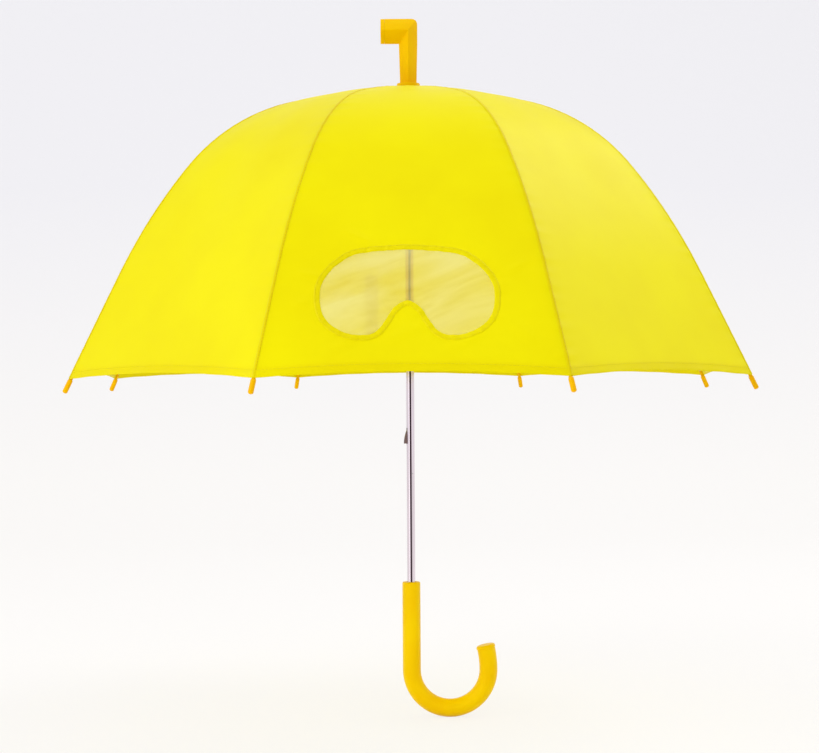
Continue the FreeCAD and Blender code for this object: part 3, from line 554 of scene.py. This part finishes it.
# %% Plain panels
STRAP_PANEL = 2
HEM_FOLD = 9.0 * MM
CROWN_EDGE = 1.0 * MM
COLUMNS = 57
ROWS = 190
FOLD_ROWS = ((0.35, -0.10), (0.45, -0.35), (0.30, -0.62), (-0.4, -0.78), (-3.0, -0.80), (-6.0, -0.80),
             (-HEM_FOLD / MM, -0.62))


def side_shares(count=COLUMNS):
    """Shares from -1 to 1, closer together near the seams."""
    even = np.linspace(-1, 1, count)
    return np.sin(even * math.pi / 2) * 0.55 + even * 0.45


def cut_rows():
    """Rows of (side, distance) over a panel's cut shape, from the crown to the hem's arc."""
    shares = side_shares()
    rows = []
    for row in np.linspace(0, 1, ROWS):
        distance = CROWN_EDGE + (hem_distance(shares) - CROWN_EDGE) * row
        rows.append(np.stack([shares * half_width(distance), distance], axis=-1))
    return rows


def hem_fold(panel, rows=FOLD_ROWS):
    """Rows of points, and of (side, distance), of the hem's fold; each row lies past the hem and lifted."""
    shares = side_shares()
    hem = hem_distance(shares)
    points, uvs = [], []
    for along, lift in rows:
        distance = hem + along * MM
        side = shares * half_width(np.minimum(distance, hem))
        points.append(on_panel(panel, distance, side, lift=lift * MM))
        uvs.append(np.stack([side, distance], axis=-1))
    return points, uvs


def panel_sheet(panel):
    rows = cut_rows()
    fold, fold_uvs = hem_fold(panel)
    points = [on_panel(panel, row[:, 1], row[:, 0]) for row in rows] + fold
    return mesh_piece(f"panel_cloth_{panel}", np.concatenate(points), grid_faces(len(points), COLUMNS),
                      canopy_cloth, np.concatenate(rows + fold_uvs))


panels = {panel: panel_sheet(panel) for panel in range(1, RIBS + 1) if panel != WINDOW_PANEL}
print("plain panels", len(panels), "faces each", len(panels[1].data.polygons))

# %% [markdown]
# ## The window panel
# The front panel has a goggle-shaped hole, sewn a little to one side of the panel's middle. Its outline is one
# smooth closed curve through a few points of its half, mirrored. The panel's own grid of points, without those
# close to the outline, is joined into triangles that keep the outline as an edge, so the same step gives the
# cloth with its hole and the film that fills it.

# %% Window outline, cloth and film
WINDOW_SHIFT = 3.6 * MM
WINDOW_PUCKER, WINDOW_PUCKER_REACH = 0.26 * MM, 8 * MM
FILM_LIFT = -0.15 * MM
LOOP_CLEARANCE = 1.1 * MM
WINDOW_HALF = ((0.0, 109.8), (32.0, 107.8), (49.0, 103.6), (64.0, 92.3), (72.5, 79.5), (74.3, 66.5),
               (71.6, 52.5), (63.5, 42.5), (50.6, 35.9), (37.0, 34.0), (26.0, 37.3), (18.5, 46.0),
               (11.0, 57.5), (0.0, 64.0))


def round_loop(loop):
    """A closed loop's length, and a function that gives the points at distances along it."""
    ring = np.vstack([loop, loop[:1]])
    along = np.concatenate([[0], np.cumsum(np.hypot(*np.diff(ring, axis=0).T))])
    return along[-1], lambda spots: np.stack([np.interp(spots, along, ring[:, i]) for i in (0, 1)], axis=-1)


def closed_curve(knots, count):
    """A smooth closed curve through knots at even steps, as (count, 2), and its length."""
    knots = np.array(knots)
    spans = []
    total = len(knots)
    for i in range(total):
        before, a, b, after = (knots[(i + j) % total] for j in (-1, 0, 1, 2))
        for t in np.linspace(0, 1, 24, endpoint=False):
            spans.append(0.5 * (2 * a + (b - before) * t + (2 * before - 5 * a + 4 * b - after) * t ** 2
                                + (3 * a - before - 3 * b + after) * t ** 3))
    length, at = round_loop(np.array(spans))
    return at(np.linspace(0, length, count, endpoint=False)), length


outline_knots = [(x * MM, z * MM) for x, z in WINDOW_HALF]
outline_knots += [(-x, z) for x, z in outline_knots[-2:0:-1]]
OUTLINE, OUTLINE_LENGTH = closed_curve(outline_knots, 300)
OUTLINE_DOWN = distance_at_height(HEM_CORNER[1] + OUTLINE[:, 1])
WINDOW_LOOP = np.stack([-OUTLINE[:, 0] - WINDOW_SHIFT, OUTLINE_DOWN], axis=-1)


def inside(points, loop):
    """Which points lie inside a closed loop, by counting the edges a ray crosses."""
    x, y = points[:, 0][:, None], points[:, 1][:, None]
    a, b = loop, np.roll(loop, -1, axis=0)
    crosses = (a[:, 1] > y) != (b[:, 1] > y)
    with np.errstate(divide="ignore", invalid="ignore"):
        cut = a[:, 0] + (y - a[:, 1]) * (b[:, 0] - a[:, 0]) / (b[:, 1] - a[:, 1])
    return (np.sum(crosses & (x < cut), axis=1) % 2) == 1


def gaps_to_window(points):
    """Distances from each point to every corner of the window's loop."""
    across = points[:, None, :] - WINDOW_LOOP[None, :, :]
    return np.hypot(across[..., 0], across[..., 1])


def window_pucker(points):
    """Small radial puckers round the window's sewn edge."""
    gaps = gaps_to_window(points)
    travel = np.argmin(gaps, axis=1) / len(WINDOW_LOOP) * OUTLINE_LENGTH
    drawn = 0.7 * np.sin(travel / (1.15 * MM)) + np.sin(travel / (2.0 * MM)) + 0.8 * np.sin(travel / (3.3 * MM))
    return np.exp(-(np.min(gaps, axis=1) / WINDOW_PUCKER_REACH) ** 2) * WINDOW_PUCKER * drawn


def window_sheets():
    """Flat triangles over the front panel, and which of them lie in the window and in the panel."""
    grid = np.array(cut_rows())
    rim = np.concatenate([grid[0], grid[1:-1, -1], grid[-1, ::-1], grid[-2:0:-1, 0]])
    inner = grid[1:-1, 1:-1].reshape(-1, 2)
    inner = inner[np.min(gaps_to_window(inner), axis=1) > LOOP_CLEARANCE]
    points = np.concatenate([rim, WINDOW_LOOP, inner])
    edges = [(i, (i + 1) % len(rim)) for i in range(len(rim))]
    start = len(rim)
    edges += [(start + i, start + (i + 1) % len(WINDOW_LOOP)) for i in range(len(WINDOW_LOOP))]
    flat, _, faces, *_ = delaunay_2d_cdt([Vector(p) for p in points], edges, [], 1, 1e-7)
    flat = np.array([tuple(p) for p in flat])
    faces = np.array([f for f in faces])
    centres = flat[faces].mean(axis=1)
    return flat, faces, inside(centres, WINDOW_LOOP), inside(centres, rim)


def piece_from(flat, faces, name, material, lift):
    """A piece of the window panel from some of its flat triangles."""
    used = np.unique(faces)
    renumber = np.full(len(flat), -1)
    renumber[used] = np.arange(len(used))
    spots = flat[used]
    points = on_panel(WINDOW_PANEL, spots[:, 1], spots[:, 0], lift=lift + window_pucker(spots))
    return mesh_piece(name, points, renumber[faces], material, spots)


flat, faces, in_window, in_panel = window_sheets()
window_panel = piece_from(flat, faces[~in_window & in_panel][:, ::-1], f"panel_cloth_{WINDOW_PANEL}",
                          canopy_cloth, 0.0)
film = piece_from(flat, faces[in_window][:, ::-1], "window_clear_film", vinyl_film, FILM_LIFT)

fold, fold_uvs = hem_fold(WINDOW_PANEL, ((0.0, 0.0),) + FOLD_ROWS)
fold = mesh_piece("hem", np.concatenate(fold), grid_faces(len(fold), COLUMNS), canopy_cloth,
                  np.concatenate(fold_uvs))
only(window_panel, fold)
bpy.ops.object.join()
edit(
    window_panel,
    lambda: bpy.ops.mesh.select_all(action="SELECT"),
    lambda: bpy.ops.mesh.remove_doubles(threshold=0.02 * MM),
)
panels[WINDOW_PANEL] = window_panel
print("window panel faces", len(window_panel.data.polygons), "film faces", len(film.data.polygons),
      "outline", round(OUTLINE_LENGTH, 4), "m")

# %% [markdown]
# ## Seams over the ribs
# Two panels meet over each rib in a folded, flat-felled seam: layers of cloth that stand up as a narrow, low
# ridge in a slightly deeper yellow. Each is a strip that bends over the edge between its two panels and ends
# in the rib's tip. Its section is given in millimetres, across the rib and up from the cloth.

# %% Felled seams
SEAM_SECTION = ((-1.7, 0.02), (-1.35, 0.26), (-0.7, 0.40), (0.0, 0.50), (0.7, 0.40), (1.35, 0.26), (1.7, 0.02))
SEAM_START, SEAM_END, SEAM_ROWS = 3 * MM, CLOTH_LENGTH + 0.8 * MM, 240


def on_seam(rib, distance, across, lift):
    """Points over a rib: negative across lies on the panel before the rib, positive on the one after."""
    before = RIBS if rib == 1 else rib - 1
    width = half_width(distance)
    left = on_panel(before, distance, width + across, lift)
    right = on_panel(rib, distance, -width + across, lift)
    return np.where(np.broadcast_to(np.asarray(across), np.shape(distance))[..., None] < 0, left, right)


def seam_strip(rib):
    distances = np.linspace(SEAM_START, SEAM_END, SEAM_ROWS)
    columns, uvs = [], []
    for across, lift in SEAM_SECTION:
        wander = 0.12 * MM * np.sin(distances / (23 * MM) + rib)
        height = lift * MM + 0.05 * MM * np.sin(distances / (1.5 * MM))
        columns.append(on_seam(rib, distances, across * MM + wander, height))
        uvs.append(np.stack([np.full_like(distances, across * MM), distances], axis=-1))
    points = np.stack(columns, axis=1).reshape(-1, 3)
    faces = grid_faces(SEAM_ROWS, len(SEAM_SECTION))
    return mesh_piece(f"felled_seam_{rib}", points, faces, seam_cloth, np.stack(uvs, axis=1).reshape(-1, 2))


seams = {rib: seam_strip(rib) for rib in range(1, RIBS + 1)}
print("seams", len(seams), "of", len(seams[1].data.polygons), "faces")

# %% [markdown]
# ## Stitches
# Rows of lockstitch hold seams, hems, strap and window binding. One stitch is a tiny spindle, thicker in the
# middle, half sunk in the cloth, given by the places and thicknesses of its rings. Stitches follow each other
# along a row about 3.2 mm apart, which is a normal machine setting for rainwear.

# %% Rows of stitches
STITCH = 3.2 * MM
STITCH_THICK = 0.22 * MM
STITCH_SIDES = 5
SPINDLE = ((-0.5, 0.15), (-0.36, 0.8), (0.0, 1.0), (0.36, 0.8), (0.5, 0.15))
NEIGHBOURS = [(i, (i + 1) % STITCH_SIDES) for i in range(STITCH_SIDES)]
LAST_RING = STITCH_SIDES * (len(SPINDLE) - 1)
STITCH_FACES = [(low + i, low + j, low + STITCH_SIDES + j, low + STITCH_SIDES + i)
                for low in range(0, LAST_RING, STITCH_SIDES) for i, j in NEIGHBOURS]
STITCH_FACES += [range(STITCH_SIDES)[::-1], range(LAST_RING, LAST_RING + STITCH_SIDES)]


def stitch_rows(name, rows, material=thread_cloth):
    """Stitches along rows; each row is (points, normals), evenly spaced, one stitch from point to point."""
    points, faces = [], []
    for spots, normals in rows:
        for start, end, normal in zip(spots[:-1], spots[1:], normals[:-1]):
            direction = end - start
            span = np.linalg.norm(direction)
            direction = direction / span
            sideways = np.cross(normal, direction)
            base = len(points)
            for share, thick in SPINDLE:
                centre = (start + end) / 2 + direction * share * span * 0.86 + normal * 0.02 * MM
                for i in range(STITCH_SIDES):
                    angle = 2 * math.pi * i / STITCH_SIDES
                    radius = thick * STITCH_THICK
                    points.append(centre + radius * (math.cos(angle) * sideways + math.sin(angle) * normal))
            faces += [[base + corner for corner in face] for face in STITCH_FACES]
    return mesh_piece(name, points, faces, material)


def panel_row(panel, distance, side, lift):
    """A row of spots on a panel and the cloth's normals there."""
    spots = on_panel(panel, distance, side, lift)
    normals = on_panel(panel, distance, side, 1.0, flat=True) - on_panel(panel, distance, side, 0.0, flat=True)
    return spots, normals / np.linalg.norm(normals, axis=1)[:, None]


HEM_STITCH_UP = 6.5 * MM
SEAM_STITCH_SIDE, SEAM_STITCH_LIFT = 0.95 * MM, 0.34 * MM


def hem_stitches(panel):
    count = int(2 * HEM_CORNER[0] * math.sin(HALF) / STITCH)
    share = np.linspace(-0.985, 0.985, count)
    distance = hem_distance(share) - HEM_STITCH_UP
    return panel_row(panel, distance, share * half_width(distance), 0.05 * MM)


def seam_stitches(rib):
    distances = np.arange(14 * MM, CLOTH_LENGTH - 4 * MM, STITCH)
    spots = on_seam(rib, distances, SEAM_STITCH_SIDE, SEAM_STITCH_LIFT)
    normals = on_seam(rib, distances, SEAM_STITCH_SIDE, SEAM_STITCH_LIFT + MM) - spots
    return spots, normals / np.linalg.norm(normals, axis=1)[:, None]


# The seam stitches take the amber thread of painted shade.
seam_threads = {rib: stitch_rows(f"seam_stitches_{rib}", [seam_stitches(rib)], seam_thread_painted_shade)
                for rib in range(1, RIBS + 1)}
hem_threads = {panel: stitch_rows(f"hem_stitches_{panel}", [hem_stitches(panel)])
               for panel in range(1, RIBS + 1)}
print("stitch faces", sum(len(p.data.polygons) for p in (*seam_threads.values(), *hem_threads.values())))

# %% [markdown]
# ## Window binding
# The film is held by a narrow tape of the same cloth, sewn round the hole with one row of stitches. It is a
# closed strip whose cross-section is slightly crowned, laid over the panel's edge and the film's edge, and it
# ripples where the thread pulls it. Its section is given in millimetres, out from the hole's edge and up.

# %% Window binding
BINDING_SECTION = ((-0.9, 0.03), (-0.6, 0.42), (0.5, 0.55), (1.8, 0.62), (3.1, 0.48), (4.1, 0.32), (4.4, 0.03))
BINDING_STITCH_OUT, BINDING_STITCH_LIFT = 3.3, 0.60 * MM


def loop_offset(out):
    """The window's loop moved outwards in the plane of the cloth."""
    ahead = np.roll(WINDOW_LOOP, -1, axis=0) - np.roll(WINDOW_LOOP, 1, axis=0)
    ahead = ahead / np.linalg.norm(ahead, axis=1)[:, None]
    normal = np.stack([-ahead[:, 1], ahead[:, 0]], axis=-1)
    if not inside((WINDOW_LOOP - normal * MM)[:1], WINDOW_LOOP)[0]:
        normal = -normal
    return WINDOW_LOOP + normal * out


def binding_tape():
    rings, uvs = [], []
    travel = np.linspace(0, OUTLINE_LENGTH, len(WINDOW_LOOP), endpoint=False)
    for out, lift in BINDING_SECTION:
        spots = loop_offset(out * MM)
        ripple = 0.12 * MM * np.sin(travel / (0.8 * MM)) + 0.10 * MM * np.sin(travel / (1.9 * MM))
        height = lift * MM + ripple * (lift > 0.1) + window_pucker(spots)
        rings.append(on_panel(WINDOW_PANEL, spots[:, 1], spots[:, 0], height))
        uvs.append(np.stack([np.full_like(travel, out * MM), travel], axis=-1))
    faces = grid_faces(len(BINDING_SECTION), len(WINDOW_LOOP), closed=True)
    return mesh_piece("window_binding_tape", np.concatenate(rings), faces, binding_cloth, np.concatenate(uvs))


def window_stitches():
    length, at = round_loop(loop_offset(BINDING_STITCH_OUT * MM))
    spots = at(np.linspace(0, length, int(length / STITCH)))
    return panel_row(WINDOW_PANEL, spots[:, 1], spots[:, 0], BINDING_STITCH_LIFT + window_pucker(spots))


binding = binding_tape()
binding_threads = stitch_rows("window_stitches", [window_stitches()])
print("binding faces", len(binding.data.polygons), "stitch faces", len(binding_threads.data.polygons))

# %% [markdown]
# ## Tie strap
# A folded strap of the canopy's cloth is sewn near the hem of the back panel. When the umbrella is rolled it
# goes round it and closes with a press stud. It hangs loose here, so it bows a little off the cloth between
# its sewn end and its stud.

# %% Tie strap and press stud
STRAP_SIDE = 42.0 * MM
STRAP_WIDTH = 15.0 * MM
STRAP_LOW, STRAP_HIGH = 14.5 * MM, 117.5 * MM


def strap_bow(rows):
    """How far the loose strap stands off the cloth, at heights above the hem's corner."""
    return 0.5 * MM * np.sin(math.pi * (rows - STRAP_LOW) / (STRAP_HIGH - STRAP_LOW)) ** 2


def strap_surface(lift):
    """One face of the strap: its points, and how far sideways and down the panel they lie."""
    rows = np.linspace(STRAP_HIGH, STRAP_LOW, 60)
    share = np.linspace(-1, 1, 13)
    down = distance_at_height(HEM_CORNER[1] + rows)
    round_end = np.clip((rows - STRAP_LOW) / (STRAP_WIDTH / 2), 0, 1)
    narrow = np.sqrt(np.clip(1 - (1 - round_end) ** 2, 0.02, 1))
    side = STRAP_SIDE + share[None, :] * narrow[:, None] * STRAP_WIDTH / 2
    edge = (1 - np.abs(share) ** 6)[None, :] * 0.15 * MM
    height = lift + strap_bow(rows)[:, None] + edge
    return on_panel(STRAP_PANEL, np.broadcast_to(down[:, None], side.shape), side, height), side, down


def tie_strap():
    upper, side, down = strap_surface(0.85 * MM)
    lower, *_ = strap_surface(0.35 * MM)
    rows, columns = side.shape
    points = np.concatenate([upper.reshape(-1, 3), lower.reshape(-1, 3)])
    top = grid_faces(rows, columns)
    faces = [tuple(f) for f in top] + [tuple(f[::-1] + rows * columns) for f in top]
    index = np.arange(rows * columns).reshape(rows, columns)
    rim = np.concatenate([index[0, :-1], index[:-1, -1], index[-1, :0:-1], index[:0:-1, 0]])
    for a, b in zip(rim, np.roll(rim, -1)):
        faces.append((a, b, b + rows * columns, a + rows * columns))
    uv = np.stack([side.ravel(), np.broadcast_to(down[:, None], side.shape).ravel()], axis=-1)
    return mesh_piece("tie_strap_cloth", points, faces, canopy_cloth, np.concatenate([uv, uv]))


strap = tie_strap()
strap_rows = []
for offset in (-0.40, 0.40):
    rows = np.arange(STRAP_LOW + 9 * MM, STRAP_HIGH - 2 * MM, STITCH)
    down = distance_at_height(HEM_CORNER[1] + rows)
    side = np.full_like(down, STRAP_SIDE + offset * STRAP_WIDTH)
    strap_rows.append(panel_row(STRAP_PANEL, down, side, 1.0 * MM + strap_bow(rows)))
strap_threads = stitch_rows("strap_stitches", strap_rows)
print("strap faces", len(strap.data.polygons))

# %% [markdown]
# ## The hook handle
# The handle is a moulded plastic bar: straight where the hand grips it, then bent into a hook that ends with
# a slight inward turn. A bar of one thickness along a plain bend is made as by hand: a round face, pushed
# down for the grip, spun round the hook's centre, and spun once more about a far centre for the lip. The
# grip's top gets a rounded rim and a shallow socket round the tube.

# %% Handle
HANDLE_R = 9.0 * MM
HOOK_R = 38.3 * MM
LIP_R = 100.0 * MM
LIP_TURN = math.radians(12.4)
SOCKET_WALL, SOCKET_DEPTH = 4.6 * MM, 2.0 * MM
GRIP_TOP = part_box("handle")[1].z
GRIP_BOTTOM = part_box("handle")[0].z + HOOK_R + HANDLE_R


def bent_handle():
    bpy.ops.object.select_all(action="DESELECT")
    bpy.ops.mesh.primitive_circle_add(vertices=56, radius=HANDLE_R, fill_type="NGON", location=(0, 0, GRIP_TOP))
    piece = bpy.context.object
    bpy.ops.object.transform_apply(location=True)
    lip_centre = (2 * HOOK_R - LIP_R, 0, GRIP_BOTTOM)
    straight = GRIP_TOP - GRIP_BOTTOM
    edit(
        piece,
        lambda: bpy.ops.mesh.select_all(action="SELECT"),
        lambda: bpy.ops.mesh.extrude_region_move(TRANSFORM_OT_translate={"value": (0, 0, -straight)}),
        lambda: bpy.ops.mesh.spin(steps=64, angle=math.pi, center=(HOOK_R, 0, GRIP_BOTTOM), axis=(0, 1, 0)),
        lambda: bpy.ops.mesh.spin(steps=8, angle=LIP_TURN, center=lip_centre, axis=(0, 1, 0)),
        lambda: bpy.ops.mesh.select_all(action="SELECT"),
        lambda: bpy.ops.mesh.remove_doubles(threshold=0.01 * MM),
        lambda: bpy.ops.mesh.normals_make_consistent(inside=False),
        lambda: pick(piece, "FACE", lambda f: f.normal.z > 0.99 and middle_of(f).z > GRIP_TOP - MM),
        lambda: bpy.ops.mesh.inset(thickness=SOCKET_WALL),
        lambda: bpy.ops.mesh.extrude_region_move(TRANSFORM_OT_translate={"value": (0, 0, -SOCKET_DEPTH)}),
        lambda: pick(piece, "EDGE", lambda e: middle_of(e).z > GRIP_TOP - 0.1 * MM
                     and all(v.co.xy.length > HANDLE_R - 0.1 * MM for v in e.verts)),
        lambda: bpy.ops.mesh.bevel(offset=1.5 * MM, segments=6, affect="EDGES"),
    )
    return finish_piece(piece, "hook_handle", yolk_abs)


handle = bent_handle()

# %% [markdown]
# ## Rigid pieces with moulded edges
# Moulded parts never have knife edges. For the periscope, its bezel, the flange, the hook's cap, the notch,
# the runner and the press stud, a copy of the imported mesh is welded, its flat faces are made whole again, and
# a small bevel rounds every sharp edge, which then catches a thin line of light. The rounding would open a
# slit between the bezel and the periscope, so the bezel's rear is pushed into the periscope's mouth.

# %% Copies with rounded edges
BEZEL_REAR, BEZEL_PUSH = 0.4 * MM, 0.3 * MM


def moulded_copy(node, name, material, radius, segments, angle=25.0):
    piece = bpy.data.objects.new(name, NODES[node].data.copy())
    bpy.context.scene.collection.objects.link(piece)
    edit(
        piece,
        lambda: bpy.ops.mesh.select_all(action="SELECT"),
        lambda: bpy.ops.mesh.remove_doubles(threshold=0.005 * MM),
        lambda: bpy.ops.mesh.dissolve_limited(angle_limit=math.radians(0.5)),
    )
    bevel = piece.modifiers.new("rounded_edges", "BEVEL")
    bevel.width = radius
    bevel.segments = segments
    bevel.limit_method = "ANGLE"
    bevel.angle_limit = math.radians(angle)
    bevel.harden_normals = False
    only(piece)
    bpy.ops.object.modifier_apply(modifier=bevel.name)
    return finish_piece(piece, name, material, angle)


MOULDED = {
    "periscope_body": ("periscope_housing", finial_abs, 0.7, 3),
    "periscope_bezel": ("periscope_front_bezel", finial_abs, 0.25, 3),
    "crown_flange": ("crown_flange_ring", finial_abs, 0.6, 3),
    "handle_end_plug": ("handle_end_cap", yolk_abs, 0.2, 3),
    "top_notch": ("rib_notch", white_nylon, 0.25, 2),
    "runner": ("sliding_runner", yolk_abs, 0.3, 2),
    "strap_snap": ("press_stud_cap", yolk_abs, 0.1, 2),
}
copies = {node: moulded_copy(node, name, finish, rounding * MM, segments)
          for node, (name, finish, rounding, segments) in MOULDED.items()}
bezel = copies["periscope_bezel"]
bezel_end = max(v.co.x for v in bezel.data.vertices)
edit(
    bezel,
    lambda: pick(bezel, "VERT", lambda v: v.co.x > bezel_end - BEZEL_REAR),
    lambda: bpy.ops.transform.translate(value=(BEZEL_PUSH, 0, 0)),
)
print("moulded copies", [piece.name for piece in copies.values()])

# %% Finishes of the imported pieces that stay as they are
FINISHES = {"shaft_tube": chrome, "runner_stop": spring_steel, "notch_pins": spring_steel,
            "notch_rivet": spring_steel, "runner_pins": spring_steel, "catch_pins": spring_steel,
            "bottom_catch": black_steel, "top_catch": black_steel}
for number in range(1, RIBS + 1):
    FINISHES.update({f"rib_{number}": spring_steel, f"rib_joint_{number}": spring_steel,
                     f"stretcher_{number}": spring_steel, f"rib_tip_{number}": amber_abs})
for node, finish in FINISHES.items():
    mesh = NODES[node].data
    mesh.materials.clear()
    mesh.materials.append(finish)
print("finished", len(FINISHES), "packed pieces")

# %% [markdown]
# ## What moves with what
# Rigid copies ride the body of the piece they stand for. Seams ride their rib. The cloth pieces have their
# places baked into their meshes.

# %% Rides, replacements and sheets
stud = copies.pop("strap_snap")
for node, piece in {"handle": handle, **copies}.items():
    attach(piece, "runner" if node == "runner" else "shaft")
    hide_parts(node)

for rib in range(1, RIBS + 1):
    for piece in (seams[rib], seam_threads[rib]):
        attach(piece, f"rib_{rib}")

for panel in range(1, RIBS + 1):
    loose = [hem_threads[panel]]
    if panel == WINDOW_PANEL:
        loose += [film, binding, binding_threads]
        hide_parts("window_film")
        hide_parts("window_binding")
    if panel == STRAP_PANEL:
        loose += [strap, strap_threads, stud]
        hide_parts("tie_strap")
        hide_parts("strap_snap")
    for piece in (panels[panel], *loose):
        follow_both_ribs(piece, panel)
    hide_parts(f"panel_{panel}")

# %% [markdown]
# ## Floor, light and camera
# The umbrella stands in a plain white studio: a floor that curves up into a backdrop, two large soft lamps
# high on either side, two weak ones that fill the right side and the underside, and an even sky. The lamps
# are kept low enough that yellow stays yellow. The camera looks level at the hem.

# %% Floor and backdrop
def seen_directly(owner):
    """1 for rays that show a surface to the camera, straight, in a reflection or through film; else 0."""
    rays = add(owner, "ShaderNodeLightPath").outputs
    seen = sum_of(owner, "MAXIMUM", rays["Is Camera Ray"], rays["Is Glossy Ray"])
    return sum_of(owner, "MAXIMUM", seen, rays["Is Transmission Ray"])


def studio_white(name):
    """White paper: lit softly, and as bright as paper to the camera and in reflections."""
    material, place = new_material(name)
    share = sum_of(material, "MULTIPLY", seen_directly(material), 0.80)
    height = add(material, "ShaderNodeSeparateXYZ", {"Vector": place}).outputs["Z"]
    # Painted light: the paper is brighter and warmer near the floor, a little darker and cooler higher up.
    tone = ramp(material, height, (0.0, colour("FFFDFB")), (0.8, colour("F4F3F8")))
    paper = add(material, "ShaderNodeBsdfDiffuse", {"Color": colour("F4F3F2")}).outputs[0]
    bright = add(material, "ShaderNodeEmission", {"Color": tone, "Strength": 1.0}).outputs[0]
    return surface(material, mix(material, share, paper, bright))


FLOOR_Z = cad_low.z
WALL_EDGE = 3.4
bpy.ops.object.select_all(action="DESELECT")
bpy.ops.mesh.primitive_plane_add(size=12, location=(0, -2.5, FLOOR_Z))
backdrop = bpy.context.object
bpy.ops.object.transform_apply(location=True)
edit(
    backdrop,
    lambda: pick(backdrop, "EDGE", lambda e: middle_of(e).y > WALL_EDGE),
    lambda: bpy.ops.mesh.extrude_region_move(TRANSFORM_OT_translate={"value": (0, 0, 6)}),
    lambda: pick(backdrop, "EDGE", lambda e: middle_of(e).y > WALL_EDGE
                 and abs(middle_of(e).z - FLOOR_Z) < 0.01),
    lambda: bpy.ops.mesh.bevel(offset=1.6, segments=24, affect="EDGES"),
)
finish_piece(backdrop, "studio_backdrop", studio_white("studio_paper_white"), angle=60.0)

# %% Lamps, sky, camera
def soft_lamp(name, place, aim, size, watts):
    data = bpy.data.lights.new(name, "AREA")
    data.shape = "SQUARE"
    data.size = size
    data.energy = watts
    lamp = bpy.data.objects.new(name, data)
    bpy.context.scene.collection.objects.link(lamp)
    lamp.location = place
    lamp.rotation_euler = (Vector(aim) - Vector(place)).to_track_quat("-Z", "Y").to_euler()


CENTRE = (cad_low + cad_high) / 2
soft_lamp("key", (-1.9, -1.25, 1.9), CENTRE, 1.4, 23.0)
soft_lamp("rim", (1.5, 0.6, 2.2), CENTRE, 1.5, 26.0)
soft_lamp("fill", (1.9, -1.5, 0.8), CENTRE, 1.6, 1.0)
soft_lamp("under", (-0.4, -0.9, -0.05), (0, 0, 0.3), 0.8, 2.2)

SKY_LIGHT = 0.74
SKY_SEEN = 0.95
world = bpy.data.worlds.new("studio_sky")
bpy.context.scene.world = world
world.use_nodes = True
sky = world.node_tree.nodes["Background"]
sky.inputs["Color"].default_value = colour("FAFAFC")
sky_strength = add(world, "ShaderNodeMapRange", {"Value": seen_directly(world), "To Min": SKY_LIGHT,
                                                "To Max": SKY_SEEN})
world.node_tree.links.new(sky_strength.outputs[0], sky.inputs["Strength"])

camera_data = bpy.data.cameras.new("camera")
camera_data.lens = 78.0
camera_data.sensor_width = 36.0
camera = bpy.data.objects.new("camera", camera_data)
bpy.context.scene.collection.objects.link(camera)
CAMERA_DISTANCE = 1.775
CAMERA_SIDE = math.radians(0.3)
CAMERA_ROLL = math.radians(0.35)
CAMERA_SHIFT = 0.6 * MM
camera.location = (-CAMERA_DISTANCE * math.sin(CAMERA_SIDE) - CAMERA_SHIFT,
                   -CAMERA_DISTANCE * math.cos(CAMERA_SIDE), HEM_CORNER[1])
camera.rotation_euler = (math.pi / 2, CAMERA_ROLL, -CAMERA_SIDE)
bpy.context.scene.camera = camera
bpy.context.scene.view_settings.view_transform = "Standard"
print("camera", [round(v, 3) for v in camera.location])
